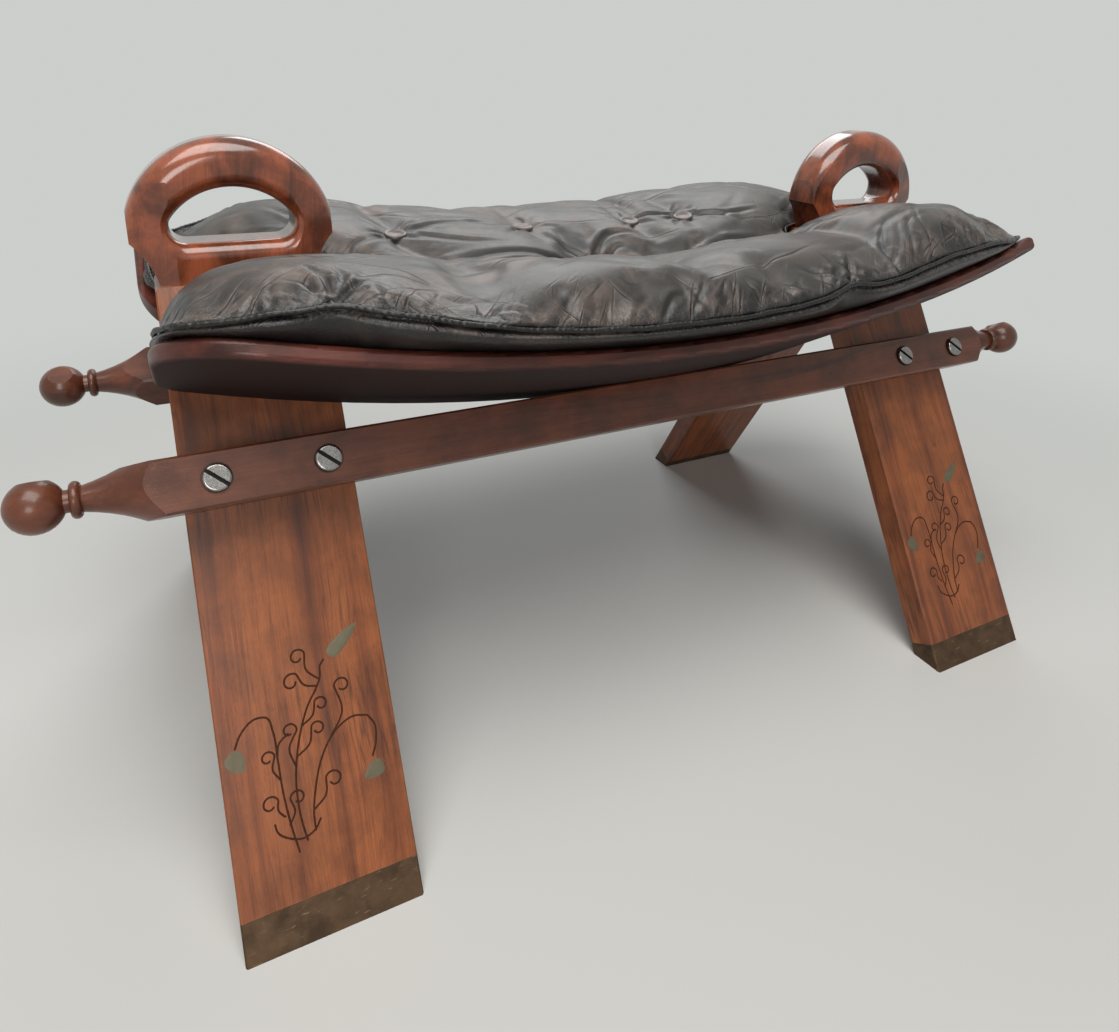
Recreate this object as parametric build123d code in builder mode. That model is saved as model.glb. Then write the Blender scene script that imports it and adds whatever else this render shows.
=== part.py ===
from build123d import *
import os
from math import cos, hypot, radians, sin, sqrt, tan

# Camel saddle stool. X runs along the stool, the front is -Y and +Z is up.
# The origin is on the floor, at the middle of the stool. Sizes are in millimetres.

# Legs: splayed planks that are mitred together in pairs at the ridge
leg_splay = 30.4                  # degrees from upright
leg_width = 88.0
leg_thickness = 20.0
leg_centre_x = 240.0              # middle of each pair of legs, along the stool
foot_reach = 191.0                # from the middle of the stool to the outer edge of a foot
ridge_half_width = 18.51          # of the level top of the legs, under the handle
leg_corner_radius = 3.0
leg_edge_chamfer = 0.8

# Brass bands, let in round the feet
band_height = 20.0                # along the leg
band_thickness = 1.0

# Rails with turned ends, bolted to the outer faces of the legs
rail_height = 28.0                # along the leg
rail_thickness = 31.0             # out from the leg
rail_drop = 108.87                # down the outer face of the leg, from its top to the rail's middle
rail_edge_chamfer = 1.2
ball_radius = 13.3
ball_centre_x = 346.5
neck_radius = 5.6
neck_length = 2.6
collar_radius = 9.2
collar_rim_radius = 7.8
collar_length = 4.6
taper_small_radius = 6.4
taper_middle_radius = 13.6
taper_middle_x = 306.0
square_start_x = 289.0            # where the turning runs out into the square bar
turning_margin = 1.0              # past the corners of the bar
turning_rise = 2.6                # the ends were turned off the bar's middle, up along the leg
turning_inset = 1.6               # and in towards the leg

# Bolts, washers and nuts through each rail and leg
bolt_spacing = 54.2
bolt_radius = 4.0
bolt_clearance = 0.2
bolt_head_radius = 7.0
bolt_head_height = 3.6
bolt_head_round = 1.2
bolt_recess_radius = 7.7
bolt_recess_depth = 1.0
bolt_slot_width = 2.0
bolt_slot_depth = 1.9
bolt_slot_turn = -42.0            # degrees, seen from outside
bolt_end_length = 3.5             # past the nut
washer_radius = 8.5
washer_thickness = 1.6
nut_across_flats = 13.0
nut_height = 6.5
thread_clearance = 0.05           # round threads, screws and dowels

# Bent seat boards that stand square to the outer faces of the legs, just over the rails
board_width = 98.5
board_thickness = 10.0
board_length = 585.0
board_shift = 2.5                 # towards the right of the front board, and the left of the back one
board_bend_radius = 1071.0        # of the underside
board_gap = 0.1                   # over the rail, at mid-length
board_wide_corner_radius = 48.0   # outer corner at the front board's left end
board_tight_corner_radius = 11.0  # outer corner at its right end
board_left_heel_radius = 14.0     # corners of its inner edge, at the legs
board_right_heel_radius = 42.0
board_edge_round = 3.2

# Wood screws through the legs into the edges of the boards
screw_spacing = 46.0
screw_radius = 2.0
screw_head_radius = 4.0
screw_head_angle = 82.0
screw_grip = 18.0                 # length in the board

# Carved handles on the ridge
handle_half_length = 53.3
handle_half_thickness = 17.8      # at the middle
handle_end_half_thickness = 13.8  # at the flat ends
handle_facet_length = 22.0
handle_base_half_length = 40.8    # where it stands on the legs
handle_height = 79.0
handle_crown_radius = 56.4
undercut_top = 24.0               # above the ridge
undercut_middle = 11.0
undercut_middle_half_length = 44.4
grip_half_length = 33.0
grip_bottom = 22.0                # above the ridge
grip_wall = 27.0                  # of the arch, over the hole
# of the height of the hole: where its curved top starts, and the radii of its corners
grip_spring_share = 0.41
grip_corner_share = 0.3
grip_shoulder_share = 0.2
crown_round = 12.0
grip_round = 8.0
dowel_radius = 3.0
dowel_depth = 14.0                # into each piece
dowel_spacing = 44.0
dowel_offset = 9.6                # from the middle plane, into each leg

# Brass leaves of an inlaid vine, let into the outer faces of the legs
leaf_thickness = 1.0
leaf_shoulder_share = 0.12        # of the length, from the middle to the widest place
side_leaf_length = 11.0
side_leaf_width = 7.5
top_leaf_length = 21.0
top_leaf_width = 7.0
# places of the leaves, as shares of the leg's width and of the rail's level, and their turns in degrees
left_leaf_shares = (-0.403, 0.397)
left_leaf_turn = 40.0
right_leaf_shares = (0.324, 0.290)
right_leaf_turn = 60.0
top_leaf_shares = (0.267, 0.590)
top_leaf_turn = -52.0

# Loose leather cushion: two long lobes with a tufted valley between them, notched for the handles
cushion_end_inset = 7.5           # from the end of a board
cushion_side_inset = 34.0         # from the outer edge of a foot
cushion_thickness = 66.5          # over the board, at the crown of a lobe
cushion_clearance = 0.4           # over the boards and the legs
valley_depth = 26.0
panel_bulge = 3.0                 # of the side, below the seam
panel_lean = 9.0                  # from the seam in to the foot of the side
underside_inset = 5.0             # from the board's inner edge out to where the underside leaves it
underside_rise = 14.0
underside_trim = 3.0              # drawn below the boards' tops, then cut to their bend
crown_place_share = 0.64          # of the half width, out to the crown of a lobe
valley_place_share = 0.20
valley_rise_share = 0.40          # how much of the valley's depth its round bottom climbs
# from the left to the right end: distance along, half width, thickness of the front lobe, depth of
# the valley and rise of the seam; the back lobe is the front one turned half round
cushion_shares = (
    (-1.00, 0.770, 0.200, 0.30, 0.005),
    (-0.96, 0.820, 0.400, 0.60, 0.035),
    (-0.90, 0.855, 0.585, 0.80, 0.085),
    (-0.80, 0.885, 0.790, 0.90, 0.170),
    (-0.66, 0.920, 0.930, 0.95, 0.220),
    (-0.47, 0.960, 0.970, 0.88, 0.140),
    (-0.25, 0.990, 0.975, 0.85, 0.110),
    (0.00, 1.000, 1.000, 0.88, 0.115),
    (0.25, 0.990, 0.985, 0.85, 0.140),
    (0.47, 0.960, 1.010, 0.88, 0.170),
    (0.66, 0.920, 1.020, 0.95, 0.220),
    (0.80, 0.885, 0.940, 0.90, 0.170),
    (0.90, 0.855, 0.800, 0.80, 0.085),
    (0.96, 0.820, 0.640, 0.60, 0.035),
    (1.00, 0.770, 0.450, 0.30, 0.005),
)
slit_half_width = 19.4
slit_end_gap = 7.5                # between the round end of the slit and the handle
tuft_radius = 34.0                # of the ball that presses each tuft in
tuft_depth = 6.0
button_radius = 8.2
button_height = 4.0
button_round = 1.4
# places of the buttoned and of the plain tufts, as shares of the cushion's half length and half width
button_place_shares = (
    (-0.463, 0.293), (-0.126, 0.395), (0.225, 0.344), (0.372, 0.280),
    (-0.463, -0.293), (-0.126, -0.395), (0.225, -0.344), (0.372, -0.280),
)
tuft_place_shares = ((0.007, 0.025), (0.170, -0.102))

overrun = 50.0                    # how far a cutter runs past what it cuts

splay = radians(leg_splay)
up_leg = Vector(0, sin(splay), cos(splay))
ridge_height = (foot_reach - ridge_half_width) / tan(splay)
rail_level = ridge_height / cos(splay) - rail_drop     # up the outer face of the leg
front_face = Plane(origin=(0, -foot_reach, 0), x_dir=(1, 0, 0), z_dir=(0, -cos(splay), sin(splay)))
inner_reach = foot_reach - leg_thickness / cos(splay)
inner_meeting_height = inner_reach / tan(splay)
board_level = rail_level + rail_height / 2 + board_gap
board_bend_centre = board_level + board_bend_radius
board_top_radius = board_bend_radius - board_thickness
bolt_head_seat = rail_thickness - bolt_recess_depth
cushion_half_length = board_length / 2 - cushion_end_inset
cushion_half_width = foot_reach - cushion_side_inset
bolt_end = leg_thickness + washer_thickness + nut_height + bolt_end_length
ends = {"left": -1, "right": 1}


def save(name, piece):
    piece.label = name
    export_step(piece, f"parts/{name}.step")


def save_both_sides(name, end, piece):
    """Saves a front piece and its mirror image at the back."""
    save(f"{name}_front{end}", piece)
    with BuildPart() as back_piece:
        mirror(piece, about=Plane.XZ)
    save(f"{name}_back{end}", back_piece.part)


def on_face(x, up, out=0.0):
    """A plane that looks outwards, at a place on the front legs' outer face or above it."""
    origin = front_face.from_local_coords(Vector(x, up, out))
    return Plane(origin=origin, x_dir=front_face.x_dir, z_dir=front_face.z_dir)


def into_face(x, up, out=0.0):
    """The same place, with the plane looking inwards."""
    origin = front_face.from_local_coords(Vector(x, up, out))
    return Plane(origin=origin, x_dir=front_face.x_dir, z_dir=-front_face.z_dir)


def board_top(x):
    """How far up the leg's face the top of a seat board lies, at a place along the stool."""
    return board_bend_centre - sqrt(board_top_radius**2 - x**2)


def bolt_places(end):
    middle = ends[end] * leg_centre_x
    return [(middle + side * bolt_spacing / 2, rail_level) for side in (-1, 1)]


def screw_places(end):
    middle = ends[end] * leg_centre_x
    middle_radius = board_bend_radius - board_thickness / 2
    places = [middle + side * screw_spacing / 2 for side in (-1, 1)]
    return [(x, board_bend_centre - sqrt(middle_radius**2 - x**2)) for x in places]


def dowel_places(end, sides):
    middle = ends[end] * leg_centre_x
    return [(middle + way * dowel_spacing / 2, side * dowel_offset) for way in (-1, 1) for side in sides]


def make_leaves(end):
    """Three thin pointed leaves, flush with the outer face of a leg."""
    leaves = (
        (left_leaf_shares, left_leaf_turn, side_leaf_length, side_leaf_width),
        (right_leaf_shares, right_leaf_turn, side_leaf_length, side_leaf_width),
        (top_leaf_shares, top_leaf_turn, top_leaf_length, top_leaf_width),
    )
    with BuildPart() as inlays:
        for (across_share, up_share), turn, length, width in leaves:
            x = ends[end] * leg_centre_x + across_share * leg_width
            shoulder = -leaf_shoulder_share * length
            with BuildSketch(on_face(x, up_share * rail_level).rotated((0, 0, turn))):
                with BuildLine():
                    ThreePointArc((0, -length / 2), (width / 2, shoulder), (0, length / 2))
                    ThreePointArc((0, length / 2), (-width / 2, shoulder), (0, -length / 2))
                make_face()
            extrude(amount=-leaf_thickness)
    return inlays.part


def make_band(end):
    """A ring of sheet brass round the foot, cut level with the floor."""
    foot = Plane(origin=on_face(ends[end] * leg_centre_x, -overrun).origin, x_dir=(1, 0, 0), z_dir=up_leg)
    with BuildPart() as band:
        with BuildSketch(foot) as ring:
            with Locations((0, leg_thickness / 2)):
                Rectangle(leg_width, leg_thickness)
            chamfer(ring.vertices(), leg_edge_chamfer)
            with Locations((0, leg_thickness / 2)):
                Rectangle(leg_width - 2 * band_thickness, leg_thickness - 2 * band_thickness,
                          mode=Mode.SUBTRACT)
        extrude(amount=overrun + band_height)
        split(bisect_by=Plane.XY, keep=Keep.TOP)
    return band.part


def make_leg(end, band, leaves):
    """A front leg: a plank whose top is mitred against the leg behind it."""
    with BuildPart() as leg:
        with BuildSketch(Plane.YZ.offset(ends[end] * leg_centre_x)):
            Polygon((-foot_reach, 0), (-inner_reach, 0), (0, inner_meeting_height), (0, ridge_height),
                    (-ridge_half_width, ridge_height), align=None)
        extrude(amount=leg_width / 2, both=True)
        chamfer(leg.edges().filter_by(Axis((0, 0, 0), up_leg)), leg_edge_chamfer)
        top_corners = leg.edges().filter_by(Axis.Y).group_by(Axis.Z)[-1]
        fillet(top_corners, leg_corner_radius)
        with Locations(*[on_face(x, up) for x, up in bolt_places(end)]):
            Hole(bolt_radius + bolt_clearance, leg_thickness)
        with Locations(*[into_face(x, up, -leg_thickness) for x, up in screw_places(end)]):
            CounterSinkHole(screw_radius + thread_clearance, screw_head_radius, leg_thickness,
                            screw_head_angle)
        with Locations(*[(x, y, ridge_height) for x, y in dowel_places(end, (-1,))]):
            Hole(dowel_radius + thread_clearance, dowel_depth)
        add(band, mode=Mode.SUBTRACT)
        add(leaves, mode=Mode.SUBTRACT)
    return leg.part


def make_rail():
    """The front rail: a square bar whose ends are turned down to a taper, a collar and a ball."""
    rail_middle = on_face(0, rail_level, rail_thickness / 2)
    turning = on_face(0, rail_level + turning_rise, rail_thickness / 2 - turning_inset)
    corner_radius = (hypot(rail_height, rail_thickness) / 2 + hypot(turning_rise, turning_inset)
                     + turning_margin)
    neck_end = ball_centre_x - sqrt(ball_radius**2 - neck_radius**2)
    collar_end = neck_end - neck_length
    collar_middle = collar_end - collar_length / 2
    taper_end = collar_end - collar_length
    bar_end = ball_centre_x + ball_radius
    with BuildPart() as rail:
        with BuildSketch(rail_middle):
            Rectangle(2 * bar_end, rail_height)
        extrude(amount=rail_thickness / 2, both=True)
        chamfer(rail.edges().filter_by(Axis.X), rail_edge_chamfer)
        with BuildSketch(turning):
            with BuildLine():
                Polyline((0, 0), (0, corner_radius), (square_start_x, corner_radius))
                ThreePointArc((square_start_x, corner_radius), (taper_middle_x, taper_middle_radius),
                              (taper_end, taper_small_radius))
                Line((taper_end, taper_small_radius), (taper_end, collar_rim_radius))
                ThreePointArc((taper_end, collar_rim_radius), (collar_middle, collar_radius),
                              (collar_end, collar_rim_radius))
                Polyline((collar_end, collar_rim_radius), (collar_end, neck_radius), (neck_end, neck_radius))
                ThreePointArc((neck_end, neck_radius), (ball_centre_x, ball_radius), (bar_end, 0))
                Line((bar_end, 0), (0, 0))
            make_face()
            mirror(about=Plane.YZ)
        revolve(axis=Axis(turning.origin, (1, 0, 0)), mode=Mode.INTERSECT)
        for end in ends:
            with Locations(*[on_face(x, up, rail_thickness) for x, up in bolt_places(end)]):
                CounterBoreHole(bolt_radius + bolt_clearance, bolt_recess_radius, bolt_recess_depth,
                                rail_thickness)
    return rail.part


def make_bolts(end):
    """Two slotted bolts, from the rail's recesses to past the nuts."""
    with BuildPart() as bolts:
        with Locations(*[on_face(x, up, bolt_head_seat) for x, up in bolt_places(end)]):
            Cylinder(bolt_head_radius, bolt_head_height, align=(Align.CENTER, Align.CENTER, Align.MIN))
        rims = bolts.edges().filter_by(GeomType.CIRCLE).group_by(Axis((0, 0, 0), front_face.z_dir))[-1]
        fillet(rims, bolt_head_round)
        with Locations(*[on_face(x, up, bolt_head_seat + bolt_head_height) for x, up in bolt_places(end)]):
            Box(2 * bolt_head_radius, bolt_slot_width, bolt_slot_depth, rotation=(0, 0, bolt_slot_turn),
                align=(Align.CENTER, Align.CENTER, Align.MAX), mode=Mode.SUBTRACT)
        with Locations(*[on_face(x, up, bolt_head_seat) for x, up in bolt_places(end)]):
            Cylinder(bolt_radius, bolt_head_seat + bolt_end, align=(Align.CENTER, Align.CENTER, Align.MAX))
    return bolts.part


def make_washers(end):
    with BuildPart() as washers:
        with BuildSketch(front_face.offset(-leg_thickness)):
            with Locations(*bolt_places(end)):
                Circle(washer_radius)
                Circle(bolt_radius + bolt_clearance, mode=Mode.SUBTRACT)
        extrude(amount=-washer_thickness)
    return washers.part


def make_nuts(end):
    with BuildPart() as nuts:
        with BuildSketch(front_face.offset(-leg_thickness - washer_thickness)):
            with Locations(*bolt_places(end)):
                RegularPolygon(nut_across_flats / 2, 6, major_radius=False)
                Circle(bolt_radius + thread_clearance, mode=Mode.SUBTRACT)
        extrude(amount=-nut_height)
    return nuts.part


def make_board():
    """The front seat board: bent along the stool, with round corners and rounded outer edges."""
    plan_plane = Plane(origin=(board_shift, -foot_reach, 0), x_dir=(1, 0, 0), z_dir=-up_leg)
    left, right = -board_length / 2, board_length / 2
    with BuildPart() as board:
        with BuildSketch(front_face):
            with Locations((0, board_bend_centre)):
                Circle(board_bend_radius)
                Circle(board_top_radius, mode=Mode.SUBTRACT)
            with Locations((0, board_level)):
                Rectangle(2 * board_length, board_length, mode=Mode.INTERSECT)
        extrude(amount=board_width)
        with BuildSketch(plan_plane) as plan:
            with Locations((0, board_width / 2)):
                Rectangle(board_length, board_width)
            left_corner, right_corner = plan.vertices().group_by(Axis.Y)[-1].sort_by(Axis.X)
            fillet(left_corner, board_wide_corner_radius)
            fillet(right_corner, board_tight_corner_radius)
        extrude(amount=-2 * board_bend_centre, mode=Mode.INTERSECT)
        rims = board.edges().filter_by(
            lambda edge: edge.length > board_thickness * 1.1
            and front_face.to_local_coords(edge.center()).Z > board_thickness / 4)
        fillet(rims, board_edge_round)
        heels = ((left, 1, board_left_heel_radius), (right, -1, board_right_heel_radius))
        with BuildSketch(plan_plane):
            for corner, inwards, radius in heels:
                with Locations((corner + inwards * radius / 2, radius / 2)):
                    Rectangle(radius, radius)
            for corner, inwards, radius in heels:
                with Locations((corner + inwards * radius, radius)):
                    Circle(radius, mode=Mode.SUBTRACT)
        extrude(amount=-2 * board_bend_centre, mode=Mode.SUBTRACT)
        for end in ends:
            with Locations(*[into_face(x, up) for x, up in screw_places(end)]):
                Hole(screw_radius + thread_clearance, screw_grip)
    return board.part


def make_screws(end):
    """Two countersunk wood screws, driven from the leg's inner face into the edge of the board."""
    head_height = (screw_head_radius - screw_radius) / tan(radians(screw_head_angle / 2))
    with BuildPart() as screws:
        with Locations(*[into_face(x, up, -leg_thickness) for x, up in screw_places(end)]):
            Cone(screw_radius, screw_head_radius, head_height,
                 align=(Align.CENTER, Align.CENTER, Align.MAX))
            Cylinder(screw_radius, leg_thickness + screw_grip,
                     align=(Align.CENTER, Align.CENTER, Align.MAX))
    return screws.part


def make_handle(end):
    """A carved handle: a rounded arch over a flat-bottomed grip hole, on a base that is cut under."""
    middle_x = ends[end] * leg_centre_x
    upright = Plane(origin=(middle_x, 0, ridge_height), x_dir=(1, 0, 0), z_dir=(0, -1, 0))
    crown_centre = handle_height - handle_crown_radius
    grip_top = handle_height - grip_wall
    grip_height = grip_top - grip_bottom
    grip_spring = grip_bottom + grip_spring_share * grip_height
    shoulder = crown_centre + sqrt(handle_crown_radius**2 - handle_half_length**2)
    with BuildPart() as handle:
        with BuildSketch(upright):
            with BuildLine():
                Line((-handle_base_half_length, 0), (handle_base_half_length, 0))
                for way in (1, -1):
                    ThreePointArc((way * handle_base_half_length, 0),
                                  (way * undercut_middle_half_length, undercut_middle),
                                  (way * handle_half_length, undercut_top))
                    Line((way * handle_half_length, undercut_top), (way * handle_half_length, shoulder))
                ThreePointArc((handle_half_length, shoulder), (0, handle_height),
                              (-handle_half_length, shoulder))
            make_face()
        extrude(amount=handle_half_thickness, both=True)
        crown_edges = handle.edges().filter_by(GeomType.CIRCLE).group_by(Axis.Z)[-1]
        fillet(crown_edges, crown_round)
        with BuildSketch(upright) as grip:
            with BuildLine():
                ThreePointArc((-grip_half_length, grip_spring), (0, grip_top),
                              (grip_half_length, grip_spring))
                Polyline((grip_half_length, grip_spring), (grip_half_length, grip_bottom),
                         (-grip_half_length, grip_bottom), (-grip_half_length, grip_spring))
            make_face()
            fillet(grip.vertices().group_by(Axis.Y)[-1], grip_shoulder_share * grip_height)
            fillet(grip.vertices().group_by(Axis.Y)[0], grip_corner_share * grip_height)
        before_grip = handle.edges()
        extrude(amount=handle_half_thickness, both=True, mode=Mode.SUBTRACT)
        rims = [edge for edge in handle.edges() - before_grip
                if abs(abs(edge.center().Y) - handle_half_thickness) < crown_round / 100]
        fillet(rims, grip_round)
        facet_start = handle_half_length - handle_facet_length
        with BuildSketch(Plane.XY.offset(ridge_height)):
            with Locations((middle_x, 0)):
                Polygon(
                    (-handle_half_length, -handle_end_half_thickness),
                    (-facet_start, -handle_half_thickness),
                    (facet_start, -handle_half_thickness),
                    (handle_half_length, -handle_end_half_thickness),
                    (handle_half_length, handle_end_half_thickness),
                    (facet_start, handle_half_thickness),
                    (-facet_start, handle_half_thickness),
                    (-handle_half_length, handle_end_half_thickness),
                )
        extrude(amount=handle_height, mode=Mode.INTERSECT)
        with Locations(*[Plane(origin=(x, y, ridge_height), z_dir=(0, 0, -1))
                         for x, y in dowel_places(end, (-1, 1))]):
            Hole(dowel_radius + thread_clearance, dowel_depth)
    return handle.part


def make_dowels(end):
    """Four dowels that join a handle to its two legs."""
    with BuildPart() as dowels:
        with Locations(*[(x, y, ridge_height) for x, y in dowel_places(end, (-1, 1))]):
            Cylinder(dowel_radius, 2 * dowel_depth)
    return dowels.part


def cushion_section(x, half_width, lobe_thicknesses, valley, seam_rise):
    """Draws the cushion's section at a place along the stool, on the open sketch line."""
    board_line = board_top(x) + cushion_clearance
    board_start = foot_reach - board_line * sin(splay)
    board_height = board_line * cos(splay)

    def over_board(reach, rise=0.0):
        return board_height + (reach - board_start) * tan(splay) + rise

    crown_reach = crown_place_share * half_width
    crown_heights = [over_board(crown_reach, thickness) for thickness in lobe_thicknesses]
    valley_reach = valley_place_share * half_width
    valley_height = sum(crown_heights) / 2 - valley
    valley_edge_height = valley_height + valley_rise_share * valley
    seam_height = over_board(half_width, seam_rise)
    panel_foot = half_width - panel_lean
    foot_height = over_board(panel_foot, -underside_trim)
    panel_middle = half_width - panel_lean / 2 + panel_bulge
    inner = board_start + underside_inset
    inner_height = over_board(inner, -underside_trim)
    ThreePointArc((-valley_reach, valley_edge_height), (0, valley_height),
                  (valley_reach, valley_edge_height))
    ThreePointArc((-inner, inner_height), (0, inner_height + underside_rise), (inner, inner_height))
    for side, crown_height in zip((-1, 1), crown_heights):
        ThreePointArc((side * valley_reach, valley_edge_height), (side * crown_reach, crown_height),
                      (side * half_width, seam_height))
        ThreePointArc((side * half_width, seam_height),
                      (side * panel_middle, (seam_height + foot_height) / 2),
                      (side * panel_foot, foot_height))
        Line((side * panel_foot, foot_height), (side * inner, inner_height))


def highest_point(piece, x, y):
    upward = Axis((x, y, 0), (0, 0, 1))
    return max(point.Z for face in piece.faces() for point, _ in face.find_intersection_points(upward))


def make_cushion():
    """The stuffed leather cushion, which lies on the seat boards and straddles the ridge."""
    with BuildPart() as cushion:
        for front, back in zip(cushion_shares, reversed(cushion_shares)):
            along, width_share, thickness_share, valley_share, seam_share = front
            x = along * cushion_half_length
            lobe_thicknesses = [share * cushion_thickness for share in (thickness_share, back[2])]
            with BuildSketch(Plane.YZ.offset(x)):
                with BuildLine():
                    cushion_section(x, width_share * cushion_half_width, lobe_thicknesses,
                                    valley_share * valley_depth, seam_share * cushion_thickness)
                make_face()
        loft()
        back_face = Plane(origin=(0, foot_reach, 0), x_dir=(1, 0, 0), z_dir=(0, cos(splay), sin(splay)))
        for face, way in ((front_face, 1), (back_face, -1)):
            with BuildSketch(face):
                with Locations((0, way * board_bend_centre)):
                    Circle(board_top_radius - cushion_clearance)
            extrude(amount=board_bend_radius, both=True, mode=Mode.INTERSECT)
        tops = [(x_share * cushion_half_length, y_share * cushion_half_width)
                for x_share, y_share in (*button_place_shares, *tuft_place_shares)]
        balls = [(x, y, highest_point(cushion.part, x, y) - tuft_depth + tuft_radius) for x, y in tops]
        with Locations(*balls):
            Sphere(tuft_radius, mode=Mode.SUBTRACT)
        slit_end = leg_centre_x - handle_half_length - slit_end_gap
        for side in (-1, 1):
            # a slot with a round inner end for the handle, and room for the sloping legs under it
            with BuildSketch(Plane.XY):
                with Locations((side * (slit_end + slit_half_width), 0)):
                    Circle(slit_half_width)
                with Locations((side * (slit_end + slit_half_width + cushion_half_length / 2), 0)):
                    Rectangle(cushion_half_length, 2 * slit_half_width)
            extrude(amount=2 * ridge_height, mode=Mode.SUBTRACT)
            leg_start = leg_centre_x - leg_width / 2 - cushion_clearance
            wedge_reach = foot_reach + cushion_clearance / cos(splay)
            with BuildSketch(Plane.YZ.offset(side * leg_start)):
                Polygon((-wedge_reach, 0), (wedge_reach, 0), (0, wedge_reach / tan(splay)), align=None)
            extrude(amount=side * cushion_half_length, mode=Mode.SUBTRACT)
    return cushion.part


def make_buttons(cushion):
    """Leather-covered buttons, each pressed into its tuft."""
    seat_drop = tuft_radius - sqrt(tuft_radius**2 - button_radius**2)
    places = [(x_share * cushion_half_length, y_share * cushion_half_width)
              for x_share, y_share in button_place_shares]
    with BuildPart() as buttons:
        with Locations(*[(x, y, highest_point(cushion, x, y) + seat_drop) for x, y in places]):
            Cylinder(button_radius, button_height, align=(Align.CENTER, Align.CENTER, Align.MIN))
        tops = buttons.faces().filter_by(Axis.Z).filter_by(lambda face: face.normal_at().Z > 0)
        fillet(tops.edges(), button_round)
    return buttons.part


os.makedirs("parts", exist_ok=True)

for end in ends:
    leaves = make_leaves(end)
    band = make_band(end)
    save_both_sides("leg", f"_{end}", make_leg(end, band, leaves))
    save_both_sides("foot_band", f"_{end}", band)
    save_both_sides("leaf_inlays", f"_{end}", leaves)
    save_both_sides("rail_bolts", f"_{end}", make_bolts(end))
    save_both_sides("rail_washers", f"_{end}", make_washers(end))
    save_both_sides("rail_nuts", f"_{end}", make_nuts(end))
    save_both_sides("board_screws", f"_{end}", make_screws(end))
    save(f"handle_{end}", make_handle(end))
    save(f"handle_dowels_{end}", make_dowels(end))

save_both_sides("rail", "", make_rail())

board = make_board()
save("seat_board_front", board)
with BuildPart() as back_board:
    add(board.rotate(Axis.Z, 180))
save("seat_board_back", back_board.part)

cushion = make_cushion()
save("cushion", cushion)
save("cushion_buttons", make_buttons(cushion))
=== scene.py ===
from math import cos, pi, radians, sin, sqrt, tan

import bmesh
import bpy
import numpy as np
from mathutils import Matrix, Vector
from mathutils.bvhtree import BVHTree


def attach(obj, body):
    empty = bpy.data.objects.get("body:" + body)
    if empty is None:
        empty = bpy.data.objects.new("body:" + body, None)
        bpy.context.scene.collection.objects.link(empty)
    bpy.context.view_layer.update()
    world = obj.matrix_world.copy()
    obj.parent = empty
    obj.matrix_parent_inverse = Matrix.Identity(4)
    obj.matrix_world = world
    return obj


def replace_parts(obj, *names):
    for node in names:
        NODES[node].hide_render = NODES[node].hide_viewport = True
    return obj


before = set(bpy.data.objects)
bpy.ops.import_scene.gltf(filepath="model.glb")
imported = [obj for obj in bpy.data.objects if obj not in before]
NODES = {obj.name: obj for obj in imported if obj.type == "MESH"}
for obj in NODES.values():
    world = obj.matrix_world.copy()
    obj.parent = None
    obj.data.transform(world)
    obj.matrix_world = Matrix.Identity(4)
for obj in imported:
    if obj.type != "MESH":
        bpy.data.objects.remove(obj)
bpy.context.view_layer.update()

bl_info = {
    "name": "Camel Saddle Stool",
    "version": (1, 0, 0),
    "blender": (4, 5, 0),
    "location": "View3D > Sidebar > Saddle Stool",
    "description": "Dresses a camel saddle stool in varnished wood, tarnished brass and tufted leather",
    "category": "Object",
}

MM = 0.001
ENDS = ("left", "right")
SIDES = ("front", "back")

# Sizes of the frame that the cushion and the inlays follow, in millimetres
SPLAY = radians(30.4)
FOOT_REACH = 191.0
LEG_CENTRE = 240.0
BOARD_BEND_CENTRE = 1317.1        # up the outer face of the legs
BOARD_TOP_RADIUS = 1061.0

# Camera of the photograph's view
CAMERA_PLACE = (-0.27700, -0.48845, 0.40706)
CAMERA_YAW, CAMERA_PITCH, CAMERA_ROLL = 0.4685, 0.3290, 0.0259
IMAGE_WIDTH, IMAGE_HEIGHT = 1119, 1032
FOCAL_PIXELS = 794.776
AXIS_PIXEL = (556.545, 349.764)
SENSOR_WIDTH = 36.0

WALL_COLOUR = (0.60, 0.62, 0.60)
FLOOR_REACH = 30.0


def shade_smooth(mesh):
    mesh.polygons.foreach_set("use_smooth", np.ones(len(mesh.polygons), bool))
    mesh.update()


def new_piece(name, mesh, material, body):
    """Links a finished mesh as a piece that rides on a body."""
    piece = bpy.data.objects.new(name, mesh)
    bpy.context.scene.collection.objects.link(piece)
    mesh.materials.clear()
    mesh.materials.append(material)
    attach(piece, body)
    return piece


def dress(node, material):
    """Gives a part of the frame its finish."""
    obj = NODES[node]
    obj.data.materials.clear()
    obj.data.materials.append(material)


def mesh_of(name, points, faces):
    mesh = bpy.data.meshes.new(name)
    mesh.from_pydata([tuple(point) for point in points], [], faces)
    mesh.validate()
    return mesh


def tones(*names):
    """Colours from the settings."""
    return [tuple(getattr(bpy.context.scene.stool_colours, name)) for name in names]


def blend(share, light, dark):
    """A colour that holds a share of the dark one."""
    return tuple((1 - share) * a + share * b for a, b in zip(light, dark))


# Node trees

def join(tree, socket, value):
    """Links a socket to another, or sets it to a value."""
    if isinstance(value, bpy.types.NodeSocket):
        tree.links.new(value, socket)
    else:
        socket.default_value = value


def step(tree, kind, inputs=(), **settings):
    """Adds a node and joins its inputs."""
    node = tree.nodes.new(kind)
    for key, value in settings.items():
        setattr(node, key, value)
    for key, value in dict(inputs).items():
        join(tree, node.inputs[key], value)
    return node


def maths(tree, way, first, second=0.0):
    return step(tree, "ShaderNodeMath", {0: first, 1: second}, operation=way).outputs[0]


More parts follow.
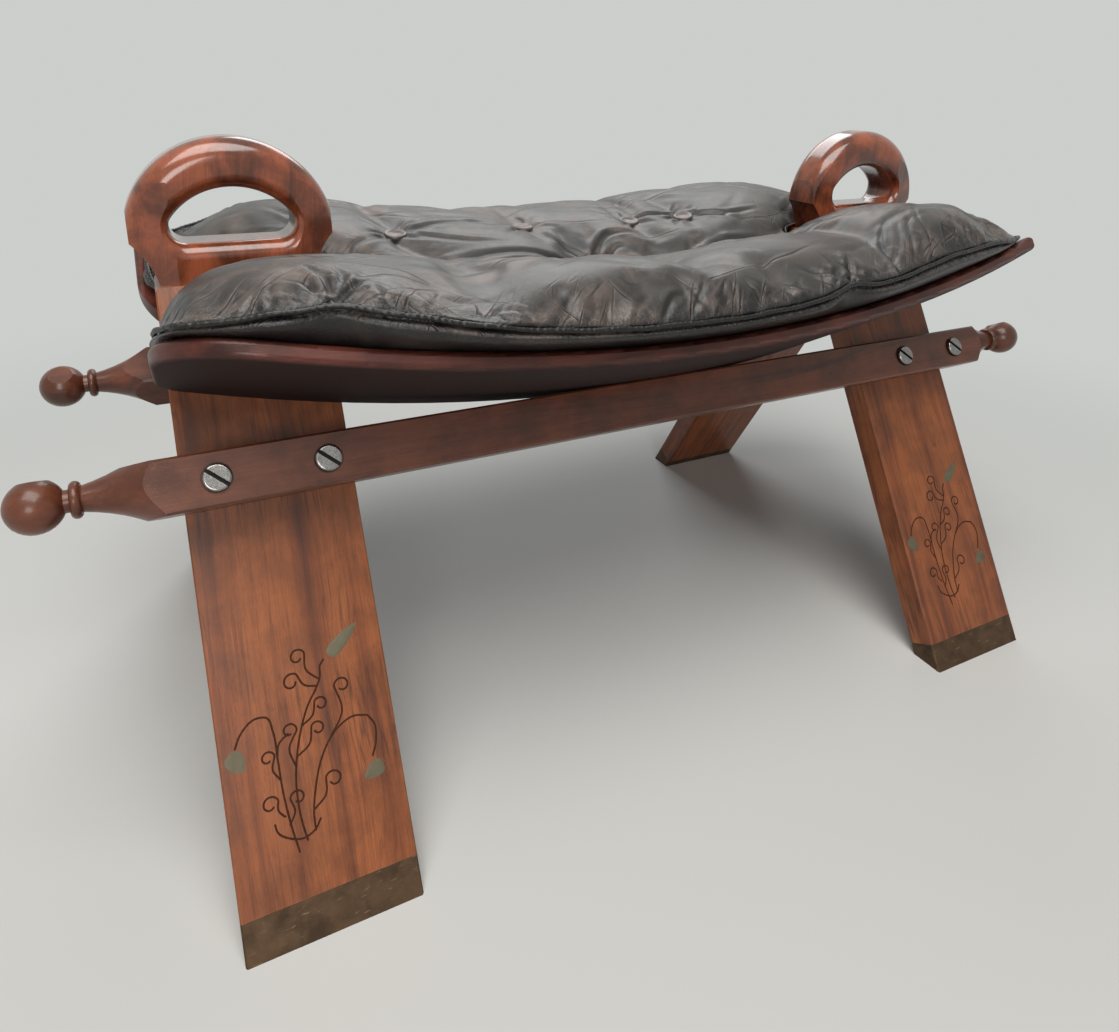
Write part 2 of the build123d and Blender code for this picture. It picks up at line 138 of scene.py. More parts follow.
def backdrop_rays(tree):
    """1 for rays that show the backdrop: from the camera, off a gloss or through glass."""
    rays = tree.nodes.new("ShaderNodeLightPath").outputs
    seen = maths(tree, "MAXIMUM", rays["Is Camera Ray"], rays["Is Glossy Ray"])
    return maths(tree, "MAXIMUM", seen, rays["Is Transmission Ray"])


# Tints that the settings leave alone

WOOD_PORES = (0.035, 0.014, 0.008)
LEG_WEAR = (0.36, 0.19, 0.10)
RAIL_WEAR = (0.30, 0.14, 0.08)
BARE_WOOD = ((0.50, 0.33, 0.18), (0.42, 0.26, 0.13), (0.25, 0.14, 0.07))     # light, middle, dark
BRASS_SCRATCH = (0.36, 0.30, 0.21)
BRASS_SPECK = (0.03, 0.025, 0.015)
STEEL = ((0.215, 0.205, 0.195), (0.33, 0.32, 0.31))     # dull, bright
RUST = (0.12, 0.07, 0.045)
SLOT_SHADE = (0.02, 0.015, 0.012)
LEATHER_CREASE_SHADE = (0.006, 0.005, 0.005)
LEATHER_CUT_SHADE = (0.005, 0.004, 0.004)
# the buttons' grey and pale tones hold painted sheen and painted highlight as well as dust and wear
BUTTON_LEATHER = ((0.045, 0.036, 0.033), (0.150, 0.120, 0.108), (0.22, 0.16, 0.14))    # dark, dusty, scuff
WELT_BLACK = (0.005, 0.004, 0.004)
WELT_WEAR = (0.075, 0.058, 0.048)
THREAD = ((0.004, 0.003, 0.003), (0.018, 0.014, 0.012))     # dark, light
MATT = (0.8, 0.8, 0.8)             # a roughness
SEAM_GLOSS = (0.20, 0.20, 0.20)    # a roughness


# Materials

class Finish:
    """A material, with short ways to add and join its nodes."""

    def __init__(self, name, **shader):
        self.material = bpy.data.materials.new(name)
        self.material.use_nodes = True
        self.tree = self.material.node_tree
        self.shader = self.tree.nodes["Principled BSDF"]
        for key, value in shader.items():
            self.shader.inputs[key.replace("_", " ")].default_value = value

    def add(self, kind, inputs=(), output=0, **settings):
        return step(self.tree, "ShaderNode" + kind, inputs, **settings).outputs[output]

    def place(self, turn=(0, 0, 0), size=(1, 1, 1), offset=(0, 0, 0)):
        """Object coordinates in a turned frame, measured in the given sizes."""
        return self.add("Mapping", {"Vector": self.add("TexCoord", output="Object"), "Rotation": turn,
                                    "Scale": size, "Location": offset}, vector_type="TEXTURE")

    def noise(self, where, scale, detail=3.0, roughness=0.5, distortion=0.0):
        return self.add("TexNoise", {"Vector": where, "Scale": scale, "Detail": detail,
                                     "Roughness": roughness, "Distortion": distortion})

    def cells(self, where, scale, feature="F1"):
        return self.add("TexVoronoi", {"Vector": where, "Scale": scale}, feature=feature)

    def ramp(self, factor, *stops):
        """Maps a factor to colours or greys at the given places."""
        node = self.tree.nodes.new("ShaderNodeValToRGB")
        elements = node.color_ramp.elements
        while len(elements) < len(stops):
            elements.new(0.5)
        for element, (place, colour) in zip(elements, stops):
            element.position = place
            grey = isinstance(colour, (int, float))
            element.color = (colour,) * 3 + (1,) if grey else (*colour, 1)
        join(self.tree, node.inputs["Fac"], factor)
        return node.outputs["Color"]

    def mix(self, factor, first, second, way="MIX"):
        node = step(self.tree, "ShaderNodeMix", data_type="RGBA", blend_type=way)
        for name, value in (("Factor_Float", factor), ("A_Color", first), ("B_Color", second)):
            socket = next(one for one in node.inputs if one.identifier == name)
            join(self.tree, socket, (*value, 1) if isinstance(value, tuple) else value)
        return next(one for one in node.outputs if one.identifier == "Result_Color")

    def maths(self, way, first, second=0.0):
        return maths(self.tree, way, first, second)

    def times(self, first, second):
        return self.maths("MULTIPLY", first, second)

    def larger(self, first, second):
        return self.maths("MAXIMUM", first, second)

    def line(self, noise, thin):
        """How far a noise is from its middle, and a mask of the thin lines where it crosses it."""
        gap = self.maths("ABSOLUTE", self.maths("SUBTRACT", noise, 0.5))
        return gap, self.ramp(gap, (0.0, 1.0), (thin, 0.0))

    def upwards(self):
        """How far the surface faces up, from -1 to 1."""
        return self.add("SeparateXYZ", {0: self.add("TexCoord", output="Normal")}, output=2)

    def mark(self, name):
        """A value that the mesh carries."""
        return self.add("Attribute", output="Fac", attribute_name=name)

    def bump(self, height, depth, strength=1.0, normal=None):
        inputs = {"Height": height, "Distance": depth, "Strength": strength}
        if normal is not None:
            inputs["Normal"] = normal
        return self.add("Bump", inputs)

    def worn_edges(self, width):
        """A mask that is white on sharp edges."""
        rounded = self.add("Bevel", {"Radius": width}, samples=4)
        plain = self.add("NewGeometry", output="Normal")
        turn = self.add("VectorMath", {0: rounded, 1: plain}, output="Value", operation="DOT_PRODUCT")
        return self.ramp(turn, (0.90, 1.0), (0.995, 0.0))

    def paint(self, colour=None, roughness=None, normal=None, coat_normal=None):
        for key, value in (("Base Color", colour), ("Roughness", roughness), ("Normal", normal),
                           ("Coat Normal", coat_normal)):
            if value is not None:
                join(self.tree, self.shader.inputs[key], value)
        return self.material


def grain_turn(along, across):
    """The turn that lays the first axis along the grain."""
    first = Vector(along).normalized()
    third = first.cross(Vector(across)).normalized()
    second = third.cross(first)
    return tuple(Matrix((first, second, third)).transposed().to_euler())


def varnished_wood(name, turn, light, middle, dark, offset=(0, 0, 0), veins=0.45, mottle=0.30,
                   roughness=0.34, coat=0.25, wear=None, dull_and_shaded_below=False):
    """Close-grained brown wood with thin dark veins and open pores, under a worn varnish."""
    finish = Finish(name, Coat_Weight=coat, Coat_Roughness=0.14, Specular_IOR_Level=0.36)
    where = finish.place(size=(MM,) * 3, offset=offset)
    along = finish.place(turn, (26 * MM, MM, MM), offset)
    wander = finish.noise(finish.place(turn, (5 * MM, MM, MM), offset), 0.016, 2.0, 0.5)
    wander = finish.add("VectorMath", {0: wander, 1: (1.5, 30.0, 30.0)}, operation="MULTIPLY")
    grain = finish.add("VectorMath", {0: along, 1: wander}, operation="ADD")
    figure = finish.noise(grain, 0.085, 4.0, 0.55)
    colour = finish.ramp(figure, (0.32, dark), (0.43, middle), (0.58, light), (0.74, middle))
    colour = finish.mix(0.25, colour, middle)
    _, line = finish.line(finish.noise(grain, 0.15, 3.0, 0.6), 0.035)
    some = finish.ramp(finish.noise(where, 0.022, 2.0, 0.5), (0.40, 0.15), (0.60, 1.0))
    line = finish.times(finish.times(line, some), veins)
    colour = finish.mix(line, colour, dark)
    fibres = finish.noise(finish.place(turn, (16 * MM, 0.5 * MM, 0.5 * MM), offset), 1.0, 4.0, 0.65)
    colour = finish.mix(0.8, colour, finish.ramp(fibres, (0.28, 0.70), (0.68, 1.14)), "MULTIPLY")
    pores = finish.cells(finish.place(turn, (5 * MM, 0.5 * MM, 0.5 * MM), offset), 1.0)
    pores = finish.ramp(pores, (0.12, 1.0), (0.25, 0.0))
    colour = finish.mix(finish.times(pores, 0.35), colour, WOOD_PORES)
    patches = finish.noise(where, 0.040, 4.0, 0.58, 0.4)
    colour = finish.mix(mottle, colour, finish.ramp(patches, (0.38, 0.30), (0.60, 1.18)), "MULTIPLY")
    if wear:
        scuffs = finish.ramp(finish.noise(where, 0.12, 4.0, 0.6), (0.48, 0.0), (0.66, 1.0))
        worn = finish.times(finish.times(finish.worn_edges(0.6 * MM), scuffs), 0.5)
        colour = finish.mix(worn, colour, wear)
    gloss = finish.ramp(patches, (0.30, roughness - 0.06), (0.70, roughness + 0.08))
    gloss = finish.mix(0.3, gloss, finish.ramp(fibres, (0.2, roughness + 0.14), (0.8, roughness - 0.04)))
    # painted shade: faces that look down are made matt and darkened to half the dark wood, for the shade
    # under the boards
    if dull_and_shaded_below:
        below = finish.ramp(finish.times(finish.upwards(), -1.0), (0.15, 0.0), (0.80, 1.0))
        gloss = finish.mix(below, gloss, MATT)
        colour = finish.mix(below, colour, tuple(0.5 * one for one in dark))
    relief = finish.bump(fibres, 0.05 * MM, 0.5)
    relief = finish.bump(finish.maths("SUBTRACT", 1.0, pores), 0.07 * MM, 0.6, relief)
    return finish.paint(colour, gloss, relief)


def tarnished_brass(name, light, dark, seed=(0, 0, 0), metal=0.7, scratched=0.35):
    """Old brass sheet: brown tarnish in clouds, with fine scratches along it and dark specks."""
    finish = Finish(name, Metallic=metal)
    where = finish.place(size=(MM,) * 3, offset=seed)
    clouds = finish.noise(where, 0.07, 5.0, 0.62, 0.4)
    colour = finish.ramp(clouds, (0.32, dark), (0.50, blend(0.5, light, dark)), (0.72, light))
    scratches = finish.noise(finish.place((0.0, 0.0, 0.16), (34 * MM, MM, MM), seed), 0.9, 2.0, 0.6)
    lines = finish.ramp(scratches, (0.66, 0.0), (0.72, 1.0))
    colour = finish.mix(finish.times(lines, scratched), colour, BRASS_SCRATCH)
    specks = finish.ramp(finish.cells(where, 0.45), (0.05, 1.0), (0.12, 0.0))
    colour = finish.mix(finish.times(specks, 0.4), colour, BRASS_SPECK)
    gloss = finish.ramp(clouds, (0.3, 0.58), (0.7, 0.44))
    return finish.paint(colour, gloss, finish.bump(clouds, 0.10 * MM, 0.5))


# Where the painted shade starts, is thick, thins and ends in the bolts' slots, out from the legs' faces
SLOT_SHADE_PLACES = (29.0, 29.4, 31.9, 32.48)
SLOT_SHADE_SPAN = 40.0                  # what the ramp's whole width stands for


def bolt_steel(name, turn, way=1):
    """Turned steel, greyed, with painted shade in the slots and round the heads of the rail's bolts."""
    finish = Finish(name, Metallic=1.0)
    where = finish.place(size=(MM,) * 3)
    clouds = finish.noise(where, 0.55, 3.0, 0.6)
    colour = finish.ramp(clouds, (0.30, STEEL[0]), (0.66, STEEL[1]))
    rust = finish.ramp(finish.noise(where, 1.1, 3.0, 0.6), (0.62, 0.0), (0.74, 1.0))
    colour = finish.mix(finish.times(rust, 0.3), colour, RUST)
    out = finish.add("VectorMath", {0: where, 1: (0, -way * cos(SPLAY), sin(SPLAY))}, output="Value",
                     operation="DOT_PRODUCT")
    out = finish.maths("SUBTRACT", out, FOOT_REACH * cos(SPLAY))
    stops = zip((one / SLOT_SHADE_SPAN for one in SLOT_SHADE_PLACES), (0.0, 1.0, 1.0, 0.0))
    sunk = finish.ramp(finish.maths("DIVIDE", out, SLOT_SHADE_SPAN), *stops)
    # painted shade: the slots and the ring round each sunk head are darkened and made matt
    colour = finish.mix(finish.times(sunk, 0.9), colour, SLOT_SHADE)
    brush = finish.noise(finish.place(turn, (MM, 14 * MM, MM)), 3.0, 2.0, 0.6)
    gloss = finish.mix(sunk, finish.ramp(brush, (0.3, 0.16), (0.7, 0.32)), MATT)
    return finish.paint(colour, gloss, finish.bump(brush, 0.04 * MM, 0.5))


# Fine creases of the leather: the turn of their way, and how long, close and high their pattern is
SEAM_CREASES = ((50, (70, 11, 90)), (-46, (64, 12, 90)), (20, (52, 14, 90)))
LONG_CREASES = ((12, (240, 44, 400)), (-20, (200, 50, 400)))
SEAM_CREASE_WIDTH, LONG_CREASE_WIDTH = 0.022, 0.009     # as steps of the noise


def fine_creases(finish, near, upper):
    """Masks of fine cuts, which the leather darkens as painted shade, and of the edges beside them, which it
    lightens as a painted highlight, near the seam and on the upper side.
    """
    cuts = highlit_rims = 0.0
    creases = [(*one, SEAM_CREASE_WIDTH, near) for one in SEAM_CREASES]
    creases += [(*one, LONG_CREASE_WIDTH, upper) for one in LONG_CREASES]
    for turn, size, thin, masked in creases:
        turned = finish.place((0, 0, radians(turn)), [one * MM for one in size], (0.01 * turn, 0, 0))
        gap, cut = finish.line(finish.noise(turned, 1.0, 1.5, 0.45, 0.3), thin)
        some = finish.ramp(finish.noise(turned, 1.7, 2.0, 0.5), (0.48, 0.0), (0.60, 1.0))
        some = finish.times(some, masked)
        rim = finish.ramp(gap, (0.7 * thin, 0.0), (1.5 * thin, 1.0), (3.6 * thin, 0.0))
        cuts = finish.larger(cuts, finish.times(cut, some))
        highlit_rims = finish.larger(highlit_rims, finish.times(rim, some))
    return cuts, highlit_rims


def worn_leather(name, dark, dust_and_sheen, scuff_and_highlight, roughness=0.42):
    """Old black saddle leather: grey where it faces up and is rubbed, partly dust and wear and partly a
    painted sheen of the light from above, glossy and dark by the seams, with painted shade in its creases
    and painted highlights beside them.
    """
    finish = Finish(name, Specular_IOR_Level=0.42, Coat_Weight=0.12, Coat_Roughness=0.22)
    where = finish.place(size=(MM,) * 3)
    patches = finish.noise(where, 0.045, 4.0, 0.6, 0.5)
    clouds = finish.noise(where, 0.013, 4.0, 0.6, 0.6)
    facing = finish.upwards()
    upper = finish.ramp(facing, (0.55, 0.0), (0.97, 1.0))
    upper = finish.mix(0.30, upper, patches, "MULTIPLY")
    fold = finish.mark("fold")
    edge = finish.mark("by_seam")
    upper = finish.times(upper, finish.maths("SUBTRACT", 1.0, finish.times(edge, 0.75)))
    # painted sheen: upward faces take a grey that is partly dust and partly the sheen of the light from
    # above
    colour = finish.mix(upper, dark, dust_and_sheen)
    speckle = finish.noise(where, 0.55, 3.0, 0.7)
    colour = finish.mix(0.5, colour, finish.ramp(speckle, (0.30, 0.72), (0.70, 1.22)), "MULTIPLY")
    # painted highlight: patches that face up and the fold ridges take this pale colour, partly wear and
    # partly glint of light
    rubbed = finish.ramp(finish.mix(0.45, clouds, patches), (0.50, 0.0), (0.64, 1.0))
    rubbed = finish.times(rubbed, finish.ramp(facing, (0.10, 0.12), (0.55, 0.60)))
    ridge = finish.times(finish.ramp(fold, (0.10, 0.0), (0.75, 1.0)), 0.55)
    colour = finish.mix(finish.larger(rubbed, ridge), colour, scuff_and_highlight)
    # painted shade: the valleys of the folds are darkened
    valley = finish.times(finish.ramp(finish.times(fold, -1.0), (0.15, 0.0), (0.75, 1.0)), 0.85)
    colour = finish.mix(valley, colour, LEATHER_CREASE_SHADE)
    near = finish.times(finish.maths("POWER", edge, 0.18), finish.ramp(facing, (0.10, 0.0), (0.35, 1.0)))
    near = finish.times(near, finish.maths("SUBTRACT", 1.0, finish.maths("POWER", edge, 5.0)))
    cuts, highlit_rims = fine_creases(finish, near, upper)
    # painted highlight: the edges of the fine creases are lightened
    colour = finish.mix(finish.times(highlit_rims, 0.45), colour, scuff_and_highlight)
    # painted shade: the fine cuts are darkened
    colour = finish.mix(finish.times(cuts, 0.85), colour, LEATHER_CUT_SHADE)
    grain = finish.cells(finish.place(size=(0.8 * MM,) * 3), 1.0, "DISTANCE_TO_EDGE")
    grain = finish.ramp(grain, (0.0, 0.0), (0.20, 1.0))
    crinkle = finish.noise(where, 0.30, 4.0, 0.62, 1.2)
    gloss = finish.ramp(patches, (0.30, roughness - 0.05), (0.70, roughness + 0.09))
    gloss = finish.mix(edge, gloss, SEAM_GLOSS)
    relief = finish.bump(grain, 0.05 * MM, 0.5)
    relief = finish.bump(speckle, 0.12 * MM, 0.5, relief)
    relief = finish.bump(finish.times(crinkle, finish.maths("ADD", edge, 0.12)), 1.1 * MM, 0.7, relief)
    relief = finish.bump(patches, 1.2 * MM, 0.4, relief)
    relief = finish.bump(finish.maths("SUBTRACT", finish.times(highlit_rims, 0.5), cuts), 0.7 * MM, 0.8, relief)
    return finish.paint(colour, gloss, relief)


def black_welt(name):
    """Rolled black leather edging, glossy, with fine creases across it."""
    finish = Finish(name, Specular_IOR_Level=0.4, Coat_Weight=0.10, Coat_Roughness=0.12)
    where = finish.place(size=(MM,) * 3)
    patches = finish.noise(where, 0.25, 3.0, 0.6)
    tone = finish.mix(finish.ramp(patches, (0.56, 0.0), (0.76, 0.45)), WELT_BLACK, WELT_WEAR)
    creases = finish.noise(where, 1.1, 3.0, 0.65)
    return finish.paint(tone, finish.ramp(patches, (0.3, 0.24), (0.7, 0.40)),
                        finish.bump(creases, 0.25 * MM, 0.6))


def waxed_thread(name):
    """Dark waxed thread, laid up in fine strands."""
    finish = Finish(name, Roughness=0.5)
    strands = finish.noise(finish.place(size=(MM,) * 3), 3.5, 2.0, 0.6)
    return finish.paint(finish.ramp(strands, (0.3, THREAD[0]), (0.7, THREAD[1])),
                        finish.ramp(strands, (0.3, 0.40), (0.7, 0.65)), finish.bump(strands, 0.08 * MM, 0.6))


def burnt_line(name, colour):
    """The dark line of a pattern cut into varnished wood."""
    finish = Finish(name, Specular_IOR_Level=0.15)
    grain = finish.noise(finish.place(size=(MM,) * 3), 0.6, 3.0, 0.6)
    lighter = tuple(2.2 * one for one in colour)
    return finish.paint(finish.ramp(grain, (0.35, colour), (0.70, lighter)),
                        finish.ramp(grain, (0.3, 0.55), (0.7, 0.75)), finish.bump(grain, 0.06 * MM, 0.5))


def floor_paper(name, colour, near, far):
    """Pale paper that keeps the object's shadow and runs on, even and pale, far behind it."""
    finish = Finish(name, Roughness=0.9, Specular_IOR_Level=0.1)
    tone = finish.noise(finish.place(), 1.2, 2.0, 0.5)
    finish.paint(finish.ramp(tone, (0.3, tuple(0.985 * one for one in colour)), (0.7, tuple(colour))))
    away = finish.add("VectorMath", {0: finish.place()}, output="Value", operation="LENGTH")
    span = finish.add("MapRange", {"Value": away, "From Min": near, "From Max": far},
                      interpolation_type="SMOOTHSTEP")
    pale = finish.add("Emission", {"Color": (*WALL_COLOUR, 1)})
    mixed = finish.add("MixShader", {0: finish.times(span, backdrop_rays(finish.tree)),
                                     1: finish.shader.outputs[0], 2: pale})
    join(finish.tree, finish.tree.nodes["Material Output"].inputs["Surface"], mixed)
    return finish.material


# Settings that a user would change

def colour_setting(name, description, colour):
    return bpy.props.FloatVectorProperty(name=name, description=description, default=colour, size=3,
                                         subtype="COLOR", min=0.0, max=1.0)


def length_setting(name, description, value):
    return bpy.props.FloatProperty(name=name, description=description, default=value, min=0.0,
                                   subtype="DISTANCE", unit="LENGTH")


class StoolColours(bpy.types.PropertyGroup):
    """Colours of the stool's woods, brass and leather."""
    leg_light: colour_setting("Leg wood, light", "Light figure of the legs", (0.345, 0.108, 0.034))
    leg_middle: colour_setting("Leg wood", "Body colour of the legs", (0.225, 0.063, 0.020))
    leg_dark: colour_setting("Leg wood, dark", "Dark veins of the legs", (0.070, 0.021, 0.010))
    # painted shade: the rail woods are darker than the legs' for the shade that the seat throws on the rails
    rail_light: colour_setting("Rail wood, light", "Light figure of the rails", (0.165, 0.050, 0.024))
    rail_dark: colour_setting("Rail wood, dark", "Dark veins of the rails", (0.045, 0.014, 0.008))
    handle_light: colour_setting("Handle wood, light", "Light figure of the handles", (0.330, 0.082, 0.031))
    handle_dark: colour_setting("Handle wood, dark", "Dark patches of the handles", (0.050, 0.012, 0.007))
    board_light: colour_setting("Board wood, light", "Light figure of the boards", (0.140, 0.038, 0.026))
    board_dark: colour_setting("Board wood, dark", "Dark veins of the boards", (0.035, 0.010, 0.007))
    brass: colour_setting("Brass", "Rubbed brass of the foot bands", (0.118, 0.068, 0.036))
    tarnish: colour_setting("Tarnish", "Tarnished brass of the foot bands", (0.052, 0.030, 0.016))
    leaf: colour_setting("Leaf brass", "Brass of the leaves", (0.150, 0.132, 0.082))
    line: colour_setting("Vine", "Line of the vine", (0.034, 0.011, 0.005))
    leather: colour_setting("Leather", "Unworn leather", (0.010, 0.009, 0.009))
    # painted sheen: this grey of the upward faces is partly dust and partly the sheen of the light from
    # above
    dust_and_sheen: colour_setting("Worn leather", "Leather that faces up and is worn grey", (0.050, 0.044, 0.041))
    # painted highlight: this pale colour is partly scuffed leather and partly glint of light on ridges and
    # crease edges
    scuff_and_highlight: colour_setting("Scuffed leather", "Leather where a fold rubs", (0.185, 0.140, 0.120))


class StoolSizes(bpy.types.PropertyGroup):
    """Sizes of the upholstery and the inlay."""
    swell: length_setting("Swell", "How far the stuffing may push the leather out", 6 * MM)
    welt: length_setting("Welt", "Radius of the rolled edge along the seam", 1.4 * MM)
    stitch: length_setting("Stitch", "Distance from one stitch to the next", 3.4 * MM)
    button: length_setting("Button", "Radius of the covered buttons", 8.2 * MM)
    line: length_setting("Vine line", "Radius of the line of the vine", 0.62 * MM)


class StageSettings(bpy.types.PropertyGroup):
    """The plain stage."""
    floor: colour_setting("Floor", "Colour of the floor", (0.66, 0.67, 0.66))
    key: bpy.props.FloatProperty(name="Key light", description="Power of the large lamp overhead",
                                 default=31.0, min=0.0, unit="POWER")
    world: bpy.props.FloatProperty(name="World light", description="Strength of the even light all round",
                                   default=0.33, min=0.0)


# Stage

# Lamps: place, what they face, size, share of the key lamp's power, and colour
LAMPS = {
    "key_lamp": ((-0.35, -0.55, 1.75), (0.0, 0.0, 0.28), (1.5, 1.1), 1.0, (1.0, 0.97, 0.93)),
    "back_lamp": ((0.5, 1.15, 1.35), (0.0, 0.0, 0.25), (1.2, 0.7), 0.30, (0.97, 0.99, 1.0)),
    "front_lamp": ((-0.75, -1.95, 0.85), (0.0, -0.1, 0.2), (0.8, 0.8), 0.42, (1.0, 0.96, 0.92)),
}
FLOOR_FADE = (0.30, 1.10)         # from where, and to where, the floor pales into the backdrop


class STOOL_OT_set_stage(bpy.types.Operator):
    """Lay the floor, hang the lamps and stand the camera"""
    bl_idname = "stool.set_stage"
    bl_label = "Set the Stage"

    def execute(self, context):
        scene = context.scene
        settings = scene.stool_stage
        scene.view_settings.view_transform = "Standard"
        reach = FLOOR_REACH
        corners = [(-reach, -reach, 0), (reach, -reach, 0), (reach, reach, 0), (-reach, reach, 0)]
        floor = bpy.data.objects.new("floor", mesh_of("floor", corners, [(0, 1, 2, 3)]))
        scene.collection.objects.link(floor)
        floor.data.materials.append(floor_paper("floor_paper", settings.floor, *FLOOR_FADE))
        world = bpy.data.worlds.new("even_light")
        scene.world = world
        world.use_nodes = True
        tree = world.node_tree
        background = tree.nodes["Background"]
        background.inputs["Strength"].default_value = settings.world
        pale = step(tree, "ShaderNodeBackground", {"Color": (*WALL_COLOUR, 1)})
        mixed = step(tree, "ShaderNodeMixShader", {0: backdrop_rays(tree), 1: background.outputs[0],
                                                   2: pale.outputs[0]})
        tree.links.new(mixed.outputs[0], tree.nodes["World Output"].inputs["Surface"])
        for name, (place, target, size, share, colour) in LAMPS.items():
            self.hang(name, place, target, size, settings.key * share, colour)
        self.stand_camera(scene)
        return {"FINISHED"}

    def hang(self, name, place, target, size, power, colour):
        lamp = bpy.data.lights.new(name, "AREA")
        lamp.shape = "RECTANGLE"
        lamp.size, lamp.size_y = size
        lamp.energy = power
        lamp.color = colour
        obj = bpy.data.objects.new(name, lamp)
        obj.location = place
        obj.rotation_euler = (Vector(target) - Vector(place)).to_track_quat("-Z", "Y").to_euler()
        bpy.context.scene.collection.objects.link(obj)

    def stand_camera(self, scene):
        ahead = Vector((sin(CAMERA_YAW) * cos(CAMERA_PITCH), cos(CAMERA_YAW) * cos(CAMERA_PITCH),
                        -sin(CAMERA_PITCH)))
        level = Vector((cos(CAMERA_YAW), -sin(CAMERA_YAW), 0))
        upright = level.cross(ahead)
        right = cos(CAMERA_ROLL) * level + sin(CAMERA_ROLL) * upright
        up = -sin(CAMERA_ROLL) * level + cos(CAMERA_ROLL) * upright
        data = bpy.data.cameras.new("camera")
        data.sensor_fit = "HORIZONTAL"
        data.sensor_width = SENSOR_WIDTH
        data.lens = FOCAL_PIXELS / IMAGE_WIDTH * SENSOR_WIDTH
        data.shift_x = (IMAGE_WIDTH / 2 - AXIS_PIXEL[0]) / IMAGE_WIDTH
        data.shift_y = (AXIS_PIXEL[1] - IMAGE_HEIGHT / 2) / IMAGE_WIDTH
        data.clip_start = 0.01
        camera = bpy.data.objects.new("camera", data)
        turned = Matrix((right, up, -ahead)).transposed().to_4x4()
        camera.matrix_world = Matrix.Translation(CAMERA_PLACE) @ turned
        scene.collection.objects.link(camera)
        scene.camera = camera


# Paths: rolled edging, cut lines and stitches, made with geometry nodes

def socket_of(tree, name):
    return next(item.identifier for item in tree.interface.items_tree
                if item.item_type == "SOCKET" and item.in_out == "INPUT" and item.name == name)


def path_tree(name, lengths):
    """A node tree that takes a curve, some named lengths and a material."""
    tree = bpy.data.node_groups.new(name, "GeometryNodeTree")
    tree.interface.new_socket("Geometry", in_out="INPUT", socket_type="NodeSocketGeometry")
    for key, value in lengths.items():
        tree.interface.new_socket(key, in_out="INPUT", socket_type="NodeSocketFloat").default_value = value
    tree.interface.new_socket("Material", in_out="INPUT", socket_type="NodeSocketMaterial")
    tree.interface.new_socket("Geometry", in_out="OUTPUT", socket_type="NodeSocketGeometry")
    return tree, tree.nodes.new("NodeGroupInput").outputs


def close_tree(tree, given, geometry):
    """Ends a tree with real meshes in the given material."""
    whole = step(tree, "GeometryNodeRealizeInstances", {"Geometry": geometry})
    done = step(tree, "GeometryNodeSetMaterial", {"Geometry": whole.outputs[0],
                                                  "Material": given["Material"]})
    tree.links.new(done.outputs[0], tree.nodes.new("NodeGroupOutput").inputs[0])
    return tree


def evenly(tree, given, length):
    return step(tree, "GeometryNodeResampleCurve", {"Curve": given["Geometry"], "Length": length},
                mode="LENGTH").outputs[0]


def random_value(tree, low, high, seed):
    return step(tree, "FunctionNodeRandomValue", {2: low, 3: high, "Seed": seed},
                data_type="FLOAT").outputs[1]


def round_line_tree():
    """A round line along a curve, nipped in at every stitch."""
    tree, given = path_tree("round_line", {"Radius": 1.0 * MM, "Pitch": 3.4 * MM, "Nip": 0.0, "Uneven": 0.0})
    even = evenly(tree, given, maths(tree, "MULTIPLY", given["Pitch"], 0.25))
    index = tree.nodes.new("GeometryNodeInputIndex").outputs[0]
    wave = maths(tree, "COSINE", maths(tree, "MULTIPLY", index, pi / 2))
    nip = maths(tree, "MULTIPLY", wave, given["Nip"])
    lumps = maths(tree, "MULTIPLY", random_value(tree, -1.0, 1.0, 4), given["Uneven"])
    share = maths(tree, "SUBTRACT", 1.0, maths(tree, "ADD", nip, lumps))
    radius = maths(tree, "MULTIPLY", share, given["Radius"])
    ring = step(tree, "GeometryNodeCurvePrimitiveCircle", {"Resolution": 8, "Radius": 1.0})
    tube = step(tree, "GeometryNodeCurveToMesh", {"Curve": even, "Profile Curve": ring.outputs[0],
                                                  "Scale": radius, "Fill Caps": True})
    return close_tree(tree, given, tube.outputs[0])


def stitch_tree():
    """Short stitches laid end to end along a curve."""
    tree, given = path_tree("stitches", {"Pitch": 3.4 * MM, "Length": 2.5 * MM, "Radius": 0.35 * MM})
    even = evenly(tree, given, given["Pitch"])
    bead = step(tree, "GeometryNodeMeshUVSphere", {"Segments": 6, "Rings": 4, "Radius": 0.5})
    wide = maths(tree, "MULTIPLY", given["Radius"], 2.0)
    size = step(tree, "ShaderNodeCombineXYZ", {0: given["Length"], 1: wide, 2: wide})
    tangent = tree.nodes.new("GeometryNodeInputTangent")
    turn = step(tree, "FunctionNodeAlignRotationToVector", {"Vector": tangent.outputs[0]}, axis="X")
    uneven = random_value(tree, 0.80, 1.15, 7)
    scale = step(tree, "ShaderNodeVectorMath", {0: size.outputs[0], "Scale": uneven}, operation="SCALE")
    laid = step(tree, "GeometryNodeInstanceOnPoints",
                {"Points": even, "Instance": bead.outputs[0], "Rotation": turn.outputs[0],
                 "Scale": scale.outputs[0]})
    return close_tree(tree, given, laid.outputs[0])


